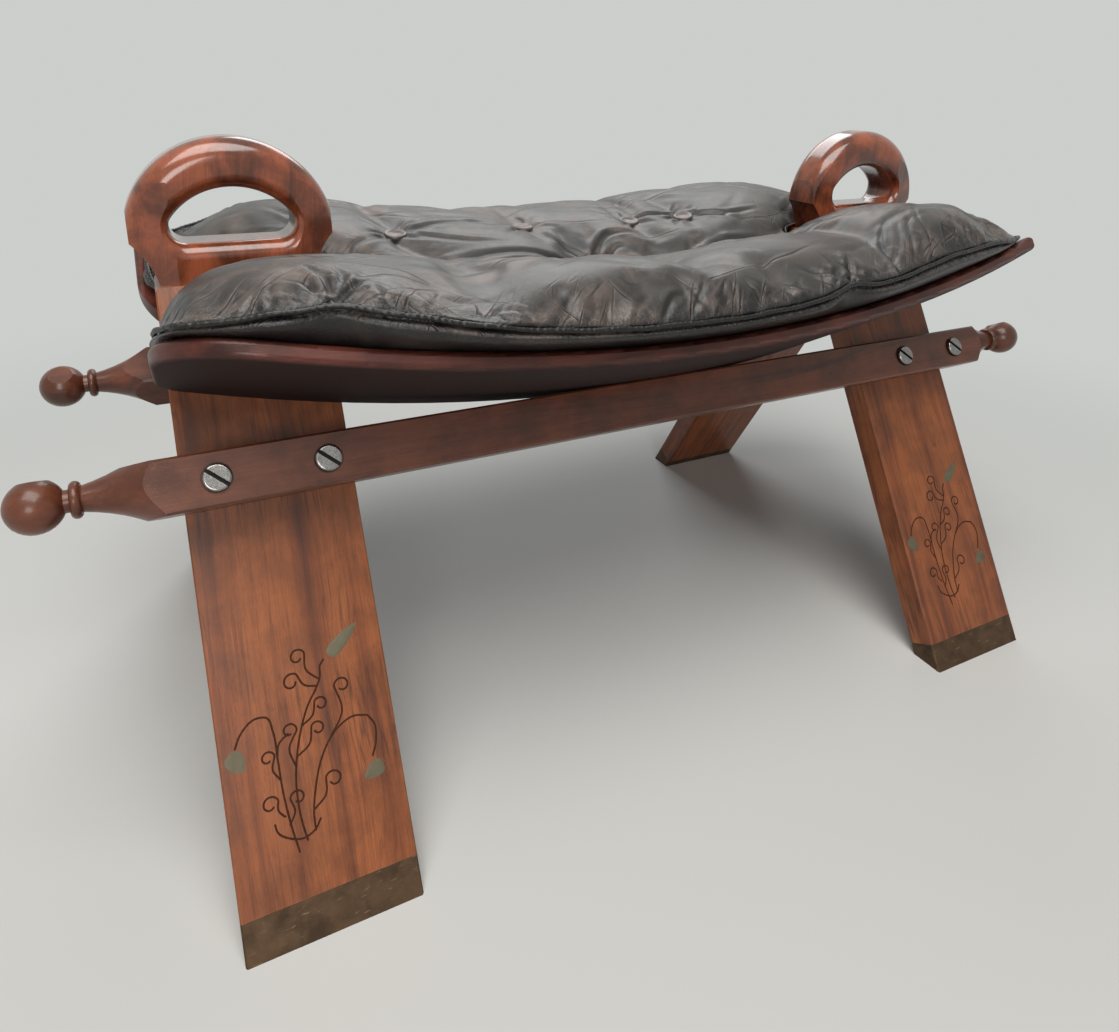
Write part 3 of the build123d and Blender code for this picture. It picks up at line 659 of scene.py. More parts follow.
def along_paths(name, paths, closed, tree, material, **lengths):
    """A mesh that a node tree makes along smooth paths, given in metres."""
    curve = bpy.data.curves.new(name, "CURVE")
    curve.dimensions = "3D"
    for path in paths:
        spline = curve.splines.new("POLY")
        spline.points.add(len(path) - 1)
        spline.points.foreach_set("co", [value for point in path for value in (*point, 1.0)])
        spline.use_cyclic_u = closed
    maker = bpy.data.objects.new(name, curve)
    bpy.context.scene.collection.objects.link(maker)
    nodes = maker.modifiers.new("along", "NODES")
    nodes.node_group = tree
    for key, value in (*lengths.items(), ("Material", material)):
        nodes[socket_of(tree, key)] = value
    mesh = bpy.data.meshes.new_from_object(maker.evaluated_get(bpy.context.evaluated_depsgraph_get()))
    bpy.data.objects.remove(maker)
    shade_smooth(mesh)
    return mesh


def flowing(points, spacing):
    """Points at even steps along a smooth curve through the given ones."""
    points = np.asarray(points, float)
    lengths = np.concatenate(([0.0], np.cumsum(np.linalg.norm(np.diff(points, axis=0), axis=1))))
    at = np.linspace(0, lengths[-1], max(2, int(lengths[-1] / spacing) + 1))
    return np.column_stack([smooth_curve(lengths, points[:, k], at) for k in range(points.shape[1])])


# Frame

def up_leg(side):
    return (0, sin(SPLAY) if side == "front" else -sin(SPLAY), cos(SPLAY))


# The cut vine on a leg's outer face: across from the middle of the leg and up the face, in millimetres
VINE_STEMS = (
    ((-22.5, 58.5), (-21.5, 54.0), (-17.0, 50.0), (-9.5, 47.6), (-4.0, 49.6), (-0.5, 54.0)),
    ((-12.8, 41.8), (-15.2, 57.0), (-16.6, 72.7), (-16.9, 87.3), (-17.2, 101.0), (-19.4, 109.0),
     (-24.8, 110.0), (-32.6, 104.6), (-36.0, 98.5)),
    ((-8.2, 45.8), (-9.7, 55.0), (-10.2, 65.7), (-9.6, 76.0), (-7.2, 88.0), (-3.0, 100.5), (2.2, 110.5),
     (5.9, 115.2)),
    ((-3.8, 49.0), (-3.4, 58.0), (-1.0, 68.5), (3.6, 80.8), (9.9, 90.0), (16.0, 94.8), (22.5, 97.0),
     (30.0, 95.4)),
    ((5.9, 115.2), (9.2, 121.0), (10.2, 127.0), (12.5, 129.5)),
    ((30.0, 95.4), (33.0, 90.0), (32.6, 82.0), (29.5, 74.5)),
    ((-17.0, 88.0), (-15.2, 95.0), (-10.0, 98.5)),
)
# Curls: where each leaves its stem, the middle of the curl, its radius and the way it winds
VINE_CURLS = (
    ((-16.9, 60.0), (-23.4, 67.9), 4.2, 1), ((-15.6, 55.5), (-9.9, 67.1), 3.9, -1),
    ((-2.8, 59.0), (8.6, 70.1), 4.4, -1), ((-17.0, 78.0), (-21.6, 89.6), 3.6, 1),
    ((-8.8, 82.0), (-9.6, 99.5), 3.8, 1), ((-7.6, 86.0), (4.4, 96.6), 3.6, -1),
    ((-3.2, 100.0), (7.6, 108.0), 3.6, -1), ((9.9, 90.0), (19.6, 114.0), 4.2, -1),
    ((7.6, 117.0), (-5.2, 122.5), 4.4, 1), ((8.8, 120.0), (-0.6, 134.0), 4.1, 1),
)
CURL_TURNS = 0.86
FACE_SINK = 0.30                   # of the line's middle, under the face
# Brass leaves: middle, the way the tip points in degrees, length, width and where the leaf is widest
LEAVES = ((-35.9, 92.0, -62, 11.6, 9.2, 0.34), (29.0, 67.4, 205, 11.4, 8.6, 0.32),
          (23.6, 137.0, 38, 21.5, 7.2, 0.30))
LEAF_PROUD = 0.16
GROUND_PROUD = 0.03                # of the wood let in round each leaf
PATCH_HALF_WIDTH = 7.0
PATCH_SHARE = 0.56                 # half the patch's length, as a share of the leaf's


def curl(leaves, middle, radius, winds):
    """A tendril that leaves its stem and winds into a small spiral."""
    leaves, middle = np.array(leaves), np.array(middle)
    apart = float(np.hypot(*(leaves - middle)))
    first = np.arctan2(*(leaves - middle)[::-1]) + winds * np.arccos(min(radius / apart, 1.0))
    turns = np.linspace(0, 1, 26)
    angle = first + winds * 2 * pi * CURL_TURNS * turns
    reach = radius * (1.0 - 0.52 * turns)
    spiral = np.column_stack((middle[0] + reach * np.cos(angle), middle[1] + reach * np.sin(angle)))
    halfway = (leaves + spiral[0]) / 2 + (leaves - spiral[0])[::-1] * (1, -1) * 0.20 * winds
    return np.vstack((flowing((leaves, halfway, spiral[0]), 1.2)[:-1], spiral))


def leaf_outline(middle_x, middle_s, points_to, length, width, widest):
    """The outline of a pointed leaf."""
    share = np.concatenate((np.linspace(0, 0.08, 4)[:-1], np.linspace(0.08, 1, 15)))
    rise = widest / (1 - widest)
    half = (share**rise * (1 - share))**0.78
    half *= width / 2 / half.max()
    turn = radians(points_to)
    upper = np.column_stack((share - 0.5, half / length)) * length
    lower = np.column_stack((share - 0.5, -half / length))[1:-1][::-1] * length
    spin = np.array(((cos(turn), sin(turn)), (-sin(turn), cos(turn))))
    return np.vstack((upper, lower)) @ spin + (middle_x, middle_s)


def round_patch(middle_x, middle_s, length):
    """The outline of the wood that fills the pocket round a leaf."""
    turns = np.linspace(0, 2 * pi, 24, endpoint=False)
    return np.column_stack((middle_x + PATCH_HALF_WIDTH * np.cos(turns),
                            middle_s + PATCH_SHARE * length * np.sin(turns)))


def low_plate(outlines, side, end, proud, domed):
    """Thin plates let into the outer face of a leg and standing a little proud of it."""
    points, faces = [], []
    for outline in outlines:
        count, first = len(outline), len(points)
        middle = outline.mean(0)
        inner = middle + (outline - middle) * 0.72
        for ring, rise in ((outline, -0.5), (outline, proud * 0.4), (inner, proud)):
            points += list(on_leg(ring, side, end, rise))
        points.append(on_leg(middle[None, :], side, end, proud * domed)[0])
        for k in range(count):
            after = (k + 1) % count
            for row in (0, count):
                faces.append((first + row + k, first + row + after, first + row + count + after,
                              first + row + count + k))
            faces.append((first + 2 * count + k, first + 2 * count + after, first + 3 * count))
        faces.append(tuple(first + k for k in range(count)))
    mesh = mesh_of("plate", points, faces)
    shell = bmesh.new()
    shell.from_mesh(mesh)
    bmesh.ops.recalc_face_normals(shell, faces=shell.faces)
    shell.to_mesh(mesh)
    shell.free()
    return mesh


def on_leg(path, side, end, out=-FACE_SINK):
    """Puts a flat path on the outer face of a leg, or out from it, in metres."""
    way = 1 if side == "front" else -1
    x = (LEG_CENTRE if end == "right" else -LEG_CENTRE) + path[:, 0]
    reach = FOOT_REACH - path[:, 1] * sin(SPLAY) + out * cos(SPLAY)
    height = path[:, 1] * cos(SPLAY) + out * sin(SPLAY)
    return np.column_stack((x, -way * reach, height)) * MM


class STOOL_OT_finish_legs(bpy.types.Operator):
    """Finish the four legs, their brass foot bands and leaves, and cut the vine into them"""
    bl_idname = "stool.finish_legs"
    bl_label = "Finish the Legs"

    def execute(self, context):
        lines = round_line_tree()
        dark_line = burnt_line("vine_line", *tones("line"))
        flat = [flowing(stem, 1.2) for stem in VINE_STEMS] + [curl(*one) for one in VINE_CURLS]
        leaf = tones("leaf")[0]
        for number, (side, end) in enumerate((side, end) for side in SIDES for end in ENDS):
            place = f"{side}_{end}"
            wood = varnished_wood(f"leg_wood_{place}", grain_turn(up_leg(side), (1, 0, 0)),
                                  *tones("leg_light", "leg_middle", "leg_dark"),
                                  (0.31 * number, 0.17 * number, 0.07 * number),
                                  veins=0.75, mottle=0.35, coat=0.12, wear=LEG_WEAR)
            dress(f"leg_{place}", wood)
            dress(f"foot_band_{place}", tarnished_brass(f"band_brass_{place}", *tones("brass", "tarnish"),
                                                        (0.2 * number, 0, 0)))
            brass = tarnished_brass(f"leaf_brass_{place}", leaf, tuple(0.6 * one for one in leaf),
                                    (0, 0.3 * number, 0), metal=0.35, scratched=0.1)
            outlines = [leaf_outline(*one) for one in LEAVES]
            plates = new_piece(f"leaves_{place}", low_plate(outlines, side, end, LEAF_PROUD, 1.4), brass,
                               "frame")
            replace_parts(plates, f"leaf_inlays_{place}")
            rounds = [round_patch(across, up, length) for across, up, _, length, _, _ in LEAVES]
            new_piece(f"leaf_ground_{place}", low_plate(rounds, side, end, GROUND_PROUD, 1.0), wood, "frame")
            paths = [on_leg(path, side, end) for path in flat]
            mesh = along_paths(f"vine_{place}", paths, False, lines, dark_line,
                               Radius=context.scene.stool_sizes.line, Pitch=3.0 * MM)
            new_piece(f"vine_{place}", mesh, dark_line, "frame")
        return {"FINISHED"}


class STOOL_OT_finish_rails(bpy.types.Operator):
    """Finish the two rails and their bolts, washers and nuts"""
    bl_idname = "stool.finish_rails"
    bl_label = "Finish the Rails"

    def execute(self, context):
        # painted shade: these darker colours stand for the shade on the rails under the seat
        light, dark = tones("rail_light", "rail_dark")
        middle = blend(0.4, light, dark)
        for number, side in enumerate(SIDES):
            wood = varnished_wood(f"rail_wood_{side}", grain_turn((1, 0, 0), up_leg(side)), light, middle,
                                  dark, (0.4, 0.11 + 0.2 * number, 0.3), veins=0.35, mottle=0.45,
                                  roughness=0.30, coat=0.22, wear=RAIL_WEAR)
            dress(f"rail_{side}", wood)
            steel = bolt_steel(f"bolt_steel_{side}", (0.0, 0.0, radians(45)), 1 if side == "front" else -1)
            for node in NODES:
                if node.startswith(tuple(f"rail_{kind}_{side}" for kind in ("bolts", "washers", "nuts"))):
                    dress(node, steel)
        return {"FINISHED"}


class STOOL_OT_finish_boards(bpy.types.Operator):
    """Finish the bent seat boards and their screws"""
    bl_idname = "stool.finish_boards"
    bl_label = "Finish the Seat Boards"

    def execute(self, context):
        light, dark = tones("board_light", "board_dark")
        middle = blend(0.5, light, dark)
        for number, side in enumerate(SIDES):
            wood = varnished_wood(f"board_wood_{side}", grain_turn((1, 0, 0), up_leg(side)), light, middle,
                                  dark, (0.1, 0.25 * number, 0.5), veins=0.4, mottle=0.45, roughness=0.30,
                                  coat=0.0, dull_and_shaded_below=True)
            dress(f"seat_board_{side}", wood)
        steel = bolt_steel("screw_steel", (0.0, 0.0, 0.3))
        for node in NODES:
            if node.startswith("board_screws"):
                dress(node, steel)
        return {"FINISHED"}


class STOOL_OT_finish_handles(bpy.types.Operator):
    """Finish the carved handles and their dowels"""
    bl_idname = "stool.finish_handles"
    bl_label = "Finish the Handles"

    def execute(self, context):
        light, dark = tones("handle_light", "handle_dark")
        middle = blend(0.28, light, dark)
        bare = varnished_wood("dowel_wood", grain_turn((0, 0, 1), (1, 0, 0)), *BARE_WOOD, roughness=0.6,
                              coat=0.0)
        for number, end in enumerate(ENDS):
            wood = varnished_wood(f"handle_wood_{end}", grain_turn((0.1, 0.05, 1), (1, 0, 0)), light, middle,
                                  dark, (0.2 + 0.3 * number, 0.4, 0.1), veins=0.25, mottle=0.85,
                                  roughness=0.17, coat=0.8)
            dress(f"handle_{end}", wood)
            dress(f"handle_dowels_{end}", bare)
        return {"FINISHED"}


# Cushion, in millimetres until its mesh is made

SLIT_HALF_WIDTH = 19.4
SLIT_START = 179.2                 # where the round end of each slit begins
HALF_LENGTH = 285.0
FOOT_INSET = 9.0                   # of the side's foot, from the seam
END_FOOT_INSET = 5.0
BOARD_EDGE = 66.0                  # from the middle to the boards' upper edges
RISE_BETWEEN = 14.0                # of the underside, up between the boards
LEAST_PADDING = 8.0
END_ROUNDING = 13.0
PANEL_SPACING = 5.6
WALL_ROWS = (0.07, 0.18, 0.32, 0.5, 0.7, 0.88)    # down the side, as shares of the way to its foot
CROWN_PLACE = 0.69                 # of the half width
# Places along the front lobe: half width, height of the crown over the board, depth of the valley,
# height of the seam over the board, and height of the back lobe's crown. The back lobe is turned half
# round.
LOBE_TABLE = np.array((
    (-285, 120.9, 13.3, 8, 0.5, 13.3),
    (-274, 128.7, 27.0, 15, 2.3, 20.0),
    (-256, 134.2, 38.0, 20, 5.7, 30.0),
    (-228, 138.9, 46.5, 22, 11.3, 43.5),
    (-188, 144.4, 51.0, 22, 14.6, 54.0),
    (-134, 150.7, 53.0, 22, 9.3, 57.5),
    (-71, 155.4, 58.5, 22, 7.3, 56.5),
    (0, 157.0, 59.0, 23, 7.6, 55.3),
    (71, 155.4, 57.0, 22, 9.3, 54.5),
    (134, 150.7, 56.0, 22, 11.3, 55.0),
    (188, 144.4, 63.5, 24, 14.6, 54.5),
    (228, 138.9, 54.0, 24, 11.3, 45.0),
    (256, 134.2, 50.0, 22, 6.3, 29.5),
    (274, 128.7, 45.0, 17, 4.0, 16.0),
    (285, 122.9, 34.0, 10, 3.5, 10.5),
))
HALF_WIDTH, FRONT_CROWN, VALLEY, SEAM, BACK_CROWN = 1, 2, 3, 4, 5
CORNER_DRAWN_IN = 11.0             # of the far left corner
# Buttons, and the two deep tufts that have none: along the stool, across it and how deep they are drawn in
BUTTONS = ((-133.5, 45, 1), (-31, 60, 1), (60, 55, 2), (105, 45, 0.5),
           (133.5, -45, 2), (-14, -38, 2), (-60, -55, 2.5), (-105, -45, 3))
DEEP_TUFTS = ((2, 4, 8.5), (48, -16, 14))
DEEP = 8                           # deeper than this, a tuft draws in more of the leather
# Hollows of the top with no button: along the stool, across it, depth and reach
HOLLOWS = ((0, -80, 9.0, 32), (120, -32, 3.0, 28), (158, -20, 6.0, 24), (-128, 14, 3.0, 26))
PINCHES = (-212.0, 92.0)           # along the front seam, and turned half round along the back one
PINCH_REACH = 15.0
PINCH_RISE = 0.8                   # of the seam
PINCH_INSET = 1.8
# Long folds of the top: their way, depth and width
LONG_FOLDS = (
    (((68, 56), (95, 52), (120, 40), (138, 22), (149, 6)), 1.7, 2.4),
    (((5, 8), (14, 24), (30, 33), (48, 30), (60, 17)), 1.9, 2.6),
    (((12, 6), (24, 16), (38, 16)), 1.3, 2.2),
    (((56, -18), (88, -22), (112, -38), (124, -62), (126, -84)), 1.9, 2.6),
    (((56, -12), (100, -4), (150, -6), (176, -22)), 1.6, 3.0),
    (((58, -15), (110, -16), (170, -34)), 1.3, 3.2),
    (((57, -20), (112, -38), (172, -66)), 1.4, 3.4),
    (((50, -24), (62, -52), (70, -84)), 1.3, 2.8),
    (((38, -18), (4, -34), (-44, -46)), 1.6, 3.0),
    (((-6, 2), (-44, -8), (-92, -22)), 1.7, 3.0),
    (((-6, 6), (-50, 10), (-104, 4), (-150, 14)), 1.5, 3.2),
    (((0, 12), (-18, 36), (-29, 52)), 1.2, 2.4),
    (((-8, -2), (-40, -26), (-52, -48)), 1.2, 2.6),
    (((-140, 38), (-168, 18), (-182, 2)), 1.4, 2.6),
    (((-126, 48), (-92, 56), (-40, 60)), 0.9, 2.6),
    (((-124, 40), (-90, 26), (-48, 22)), 1.1, 2.8),
    (((110, 40), (136, 30), (176, 26)), 1.3, 2.4),
    (((187, -22), (214, -34), (262, -60)), 1.6, 3.0),
    (((183, -26), (206, -44), (246, -80)), 1.5, 3.0),
    (((178, -24), (192, -52), (214, -92)), 1.4, 3.0),
    (((196, -21), (232, -26), (270, -40)), 1.2, 2.6),
    (((168, -18), (158, -44), (164, -82)), 1.2, 3.0),
    (((-187, 22), (-214, 36), (-258, 62)), 1.4, 3.0),
    (((-180, 26), (-196, 52), (-216, 88)), 1.3, 3.0),
    (((-186, -22), (-216, -38), (-262, -56)), 0.9, 2.8),
    (((-178, -24), (-184, -52), (-202, -84)), 0.9, 2.8),
    (((186, 22), (212, 38), (252, 70)), 1.1, 2.8),
    (((-250, -70), (-205, -78), (-150, -72)), 0.8, 4.0),
    (((-170, -96), (-110, -88), (-50, -92)), 0.8, 4.5),
    (((150, -110), (200, -104), (250, -96)), 0.7, 4.0),
)


def smooth_curve(places, values, at):
    """A smooth curve through a table's values."""
    slopes = np.gradient(values, places)
    index = np.clip(np.searchsorted(places, at) - 1, 0, len(places) - 2)
    gap = places[index + 1] - places[index]
    t = np.clip((at - places[index]) / gap, 0, 1)
    return ((2 * t**3 - 3 * t**2 + 1) * values[index] + (t**3 - 2 * t**2 + t) * gap * slopes[index]
            + (3 * t**2 - 2 * t**3) * values[index + 1] + (t**3 - t**2) * gap * slopes[index + 1])


def eased(value):
    value = np.clip(value, 0, 1)
    return value * value * (3 - 2 * value)


def board_height(x, reach):
    """Height of a seat board's top, or of its continuation, at a place."""
    line = BOARD_BEND_CENTRE - np.sqrt(BOARD_TOP_RADIUS**2 - x**2)
    return line * cos(SPLAY) + (reach - FOOT_REACH + line * sin(SPLAY)) * tan(SPLAY)


def lobe(column, x, y):
    """A column of the lobe table, for the lobe that each place is on."""
    found = smooth_curve(LOBE_TABLE[:, 0], LOBE_TABLE[:, column], np.where(y < 0, x, -x))
    if column == HALF_WIDTH:
        found = found - CORNER_DRAWN_IN * eased((-x - 235) / 45) * (y > 0)
    return found


def crown_over_board(x, y):
    front, back = (smooth_curve(LOBE_TABLE[:, 0], LOBE_TABLE[:, column], way * x)
                   for column, way in ((FRONT_CROWN, 1), (BACK_CROWN, -1)))
    return np.where(y < 0, front, back)


def pinch(x, y):
    """How near a place is to a pinch of the seam, from 0 to 1."""
    along = np.where(y < 0, x, -x)
    return sum(np.exp(-((along - place) / PINCH_REACH)**2) for place in PINCHES) * (np.abs(y) > 100)


def seam_height(x, y):
    """Height of the seam all round the cushion."""
    reach = np.abs(y)
    on_side = board_height(x, reach) + lobe(SEAM, x, y) + PINCH_RISE * pinch(x, y)
    inward = np.clip((lobe(HALF_WIDTH, x, y) - reach) / 70.0, 0, 1)
    return on_side + 15.0 * inward * eased((np.abs(x) - 240) / 40)


def top_height(x, y):
    """Height of the unswollen top panel."""
    reach = np.abs(y)
    half_width = lobe(HALF_WIDTH, x, y)
    crown_reach = CROWN_PLACE * half_width
    crown = board_height(x, crown_reach) + crown_over_board(x, y)
    other = board_height(x, crown_reach) + crown_over_board(x, -y)
    valley = (crown + other) / 2 - (lobe(VALLEY, x, y) + lobe(VALLEY, x, -y)) / 2
    inner = (0.5 - 0.5 * np.cos(pi * np.clip(reach / crown_reach, 0, 1)))**np.where(y < 0, 0.62, 0.42)
    inside = valley + (crown - valley) * inner
    seam = board_height(x, half_width) + lobe(SEAM, x, y) + PINCH_RISE * pinch(x, y)
    outwards = np.clip((reach - crown_reach) / (half_width - crown_reach), 0, 1)
    outside = seam + (crown - seam) * (1 - outwards**2.3)**0.62
    return np.where(reach < crown_reach, inside, outside)


def long_end(x, y):
    """1 on the two ends of the lobes that run out long and low, and 0 on the other two."""
    return (x * y < 0).astype(float)


def nearest(points, line):
    """How far each point is from the nearest point of a line."""
    distance = np.empty(len(points))
    for chunk in np.array_split(np.arange(len(points)), 200):
        gaps = points[chunk, None, :] - line[None, :, :]
        distance[chunk] = np.sqrt((gaps**2).sum(2).min(1))
    return distance


def values_of(rows, key, width):
    """A property of all of a mesh's rows, as an array."""
    values = np.empty(len(rows) * width)
    rows.foreach_get(key, values)
    return values.reshape(-1, width) if width > 1 else values


class Cushion:
    """The cushion's plan, its grid of panels and the points and faces of its skin."""

    def __init__(self, spacing):
        self.slit_end = SLIT_START + SLIT_HALF_WIDTH
        ends = self.split(self.slit_end, HALF_LENGTH, spacing)
        middle = self.split(-self.slit_end, self.slit_end, spacing)
        self.columns = np.concatenate((-ends[::-1], middle[1:-1], ends))
        across = self.split(0, 1, spacing / 165)
        across = 1 - (1 - across)**1.35
        slit = self.split(-1, 1, spacing / SLIT_HALF_WIDTH)
        # each row's side, 0 for those between the slits, and its share of the way across that side
        self.rows = [(-1, one) for one in across[::-1]]
        self.rows += [(0, one) for one in slit[1:-1]]
        self.rows += [(1, one) for one in across]

    @staticmethod
    def split(start, stop, gap):
        return np.linspace(start, stop, max(2, round((stop - start) / gap) + 1))

    def plan(self, edge_inset, end_inset):
        """Places of the grid's points, with the outline drawn in by the insets."""
        places = {}
        for i, x in enumerate(self.columns):
            for j, (side, share) in enumerate(self.rows):
                if side:
                    places[i, j] = self.place_on_lobe(x, side, share, edge_inset, end_inset)
                elif abs(x) <= self.slit_end + 0.01:
                    y = share * SLIT_HALF_WIDTH
                    arc = self.slit_end - sqrt(max(SLIT_HALF_WIDTH**2 - y * y, 0.0))
                    places[i, j] = (x * arc / self.slit_end, y)
        return places

    @staticmethod
    def place_on_lobe(x, side, share, edge_inset, end_inset):
        """A place at a share of the way from the middle to a lobe's edge, and rounded in at its end."""
        half_width = float(lobe(HALF_WIDTH, x, side)) - edge_inset
        half_width -= PINCH_INSET * float(pinch(x, side * 150))
        y = side * (SLIT_HALF_WIDTH + (half_width - SLIT_HALF_WIDTH) * share)
        middle, ahead = (88, 2.0) if x * side < 0 else (75, 0.0)
        rounding = END_ROUNDING * abs((abs(y) - middle) / 50)**3 - ahead
        near_end = float(eased((abs(x) - 225) / 60))
        return x - np.sign(x) * (rounding + end_inset) * near_end, y

    def panel(self, places, start):
        """Faces between the grid's points, which are numbered from the given start."""
        numbers = {key: start + number for number, key in enumerate(places)}
        faces = []
        for i in range(len(self.columns) - 1):
            for j in range(len(self.rows) - 1):
                corners = [(i, j), (i + 1, j), (i + 1, j + 1), (i, j + 1)]
                if all(corner in numbers for corner in corners):
                    faces.append([numbers[corner] for corner in corners])
        return faces

    @staticmethod
    def outline(faces):
        """The points round the open edge of a panel, in order."""
        edges = dict.fromkeys((a, b) for face in faces for a, b in zip(face, face[1:] + face[:1]))
        after = {a: b for a, b in edges if (b, a) not in edges}
        start = next(iter(after))
        loop = [start]
        while after[loop[-1]] != start:
            loop.append(after[loop[-1]])
        return loop

    def top_heights(self, plan):
        """Heights of the top panel, which rounds over to its seams and is drawn in at its tufts."""
        x, y = plan[:, 0], plan[:, 1]
        height = top_height(x, y)
        on_slit = np.clip((34 - np.abs(y)) / 14, 0, 1) * eased((np.abs(x) - 150) / 28)
        on_end = eased((np.abs(x) - 215) / 45)
        gentle = long_end(x, y)
        fall = np.maximum(on_slit * 9.0, on_end * (height - seam_height(x, y)).clip(0))
        width = np.where(on_slit > on_end, 11.0, 30.0 + 24.0 * gentle)
        share = 1 - np.clip(nearest(plan, plan[self.seam_loop]) / width, 0, 1)
        rounded = 1 - (1 - share**2.2)**np.where(on_slit > on_end, 0.55, 0.55 + 0.06 * gentle)
        height = height - fall * rounded
        for tuft_x, tuft_y, depth in (*BUTTONS, *DEEP_TUFTS):
            away = np.hypot(x - tuft_x, y - tuft_y)
            reach = 26.0 if depth > DEEP else 19.0
            height -= depth * np.exp(-(away / reach)**1.5)
        for hollow_x, hollow_y, depth, reach in HOLLOWS:
            height -= depth * np.exp(-((x - hollow_x)**2 + (y - hollow_y)**2) / reach**2)
        return height

    @staticmethod
    def bottom_heights(plan, ceiling):
        """Heights of the bottom panel, which lies on the boards and the legs."""
        x, reach = plan[:, 0], np.abs(plan[:, 1])
        on_board = board_height(x, reach)
        on_leg = (FOOT_REACH - reach) / tan(SPLAY)
        near_leg = eased((np.abs(x) - 165) / 26)
        between = board_height(x, BOARD_EDGE) + RISE_BETWEEN * (1 - (reach / BOARD_EDGE)**2)
        free = np.where(reach < BOARD_EDGE, between, on_board)
        over_leg = np.maximum(on_board, on_leg)
        height = free + (np.maximum(over_leg, free) - free) * near_leg + 0.8
        return np.minimum(height, ceiling)

    def side_rows(self, seam, foot):
        """Rows of points down the side, from below the seam to above its foot."""
        ahead = np.roll(seam[:, :2], -1, 0) - np.roll(seam[:, :2], 1, 0)
        self.outwards = np.column_stack((ahead[:, 1], -ahead[:, 0]))
        self.outwards /= np.linalg.norm(self.outwards, axis=1)[:, None]
        in_slit = np.abs(seam[:, 1]) < SLIT_HALF_WIDTH + 0.5
        drawn = 1 - 0.75 * pinch(seam[:, 0], seam[:, 1])
        height = seam[:, 2] - foot[:, 2]
        rows = []
        for share in WALL_ROWS:
            row = seam * (1 - share) + foot * share
            bulge = 6.5 * sin(pi * share**0.8) * np.clip(height / 14, 0.3, 1) * drawn
            bulge = np.where(in_slit, -0.8, bulge - 5.6 * np.exp(-(share / 0.15)**2))
            row[:, :2] += self.outwards * bulge[:, None]
            rows.append(row)
        return rows

    def build(self):
        """Joins the top, the bottom and the side between them into one closed skin."""
        top_plan = self.plan(0.0, 0.0)
        bottom_plan = self.plan(FOOT_INSET, END_FOOT_INSET)
        faces = self.panel(top_plan, 0)
        self.seam_loop = self.outline(faces)
        top = np.array(list(top_plan.values()))
        bottom = np.array(list(bottom_plan.values()))
        top = np.column_stack((top, self.top_heights(top)))
        bottom = np.column_stack((bottom, self.bottom_heights(bottom, top[:, 2] - LEAST_PADDING)))
        self.top_count, self.bottom_count = len(top), len(bottom)
        faces += [face[::-1] for face in self.panel(bottom_plan, len(top))]
        rows = self.side_rows(top[self.seam_loop], bottom[self.seam_loop])
        loops = [self.seam_loop]
        count = len(top) + len(bottom)
        for row in rows:
            loops.append(list(range(count, count + len(row))))
            count += len(row)
        loops.append([number + len(top) for number in self.seam_loop])
        for upper, lower in zip(loops, loops[1:]):
            for k in range(len(upper)):
                after = (k + 1) % len(upper)
                faces.append([upper[after], upper[k], lower[k], lower[after]])
        self.points = np.concatenate((top, bottom, *rows))
        self.faces = faces
        return self


# The leather as cloth while the cushion is stuffed
CLOTH = {
    "quality": 6, "mass": 0.35, "tension_stiffness": 18, "compression_stiffness": 14,
    "shear_stiffness": 6, "bending_stiffness": 0.6, "use_pressure": True,
    "uniform_pressure_force": 4.0, "shrink_min": -0.035, "vertex_group_mass": "sewn",
}
CLOTH_FRAMES = 20
PIN_REACH = 6.5                    # round each button and tuft


def blow_up(cushion, cap):
    """Fills the cushion: the top panel swells between its seam, buttons and tufts, as cloth."""
    mesh = mesh_of("stuffing", cushion.points * MM, cushion.faces)
    piece = bpy.data.objects.new("stuffing", mesh)
    bpy.context.scene.collection.objects.link(piece)
    pinned = np.ones(len(cushion.points), bool)
    pinned[:cushion.top_count] = False
    pinned[cushion.seam_loop] = True
    plan = cushion.points[:, :2]
    for x, y, _ in (*BUTTONS, *DEEP_TUFTS):
        pinned |= (np.hypot(plan[:, 0] - x, plan[:, 1] - y) < PIN_REACH)
    group = piece.vertex_groups.new(name="sewn")
    group.add([int(one) for one in np.nonzero(pinned)[0]], 1.0, "REPLACE")
    cloth = piece.modifiers.new("stuffed", "CLOTH")
    for key, value in CLOTH.items():
        setattr(cloth.settings, key, value)
    cloth.settings.effector_weights.gravity = 0.0
    cloth.collision_settings.use_collision = False
    scene = bpy.context.scene
    for number in range(1, CLOTH_FRAMES + 1):
        scene.frame_set(number)
    swollen = piece.evaluated_get(bpy.context.evaluated_depsgraph_get())
    shift = values_of(swollen.data.vertices, "co", 3) / MM - cushion.points
    scene.frame_set(1)
    bpy.data.objects.remove(piece)
    length = np.linalg.norm(shift, axis=1)
    limited = cap * np.tanh(length / cap)
    shift *= (limited / np.maximum(length, 1e-6))[:, None]
    shift[pinned] = 0
    cushion.points = cushion.points + shift


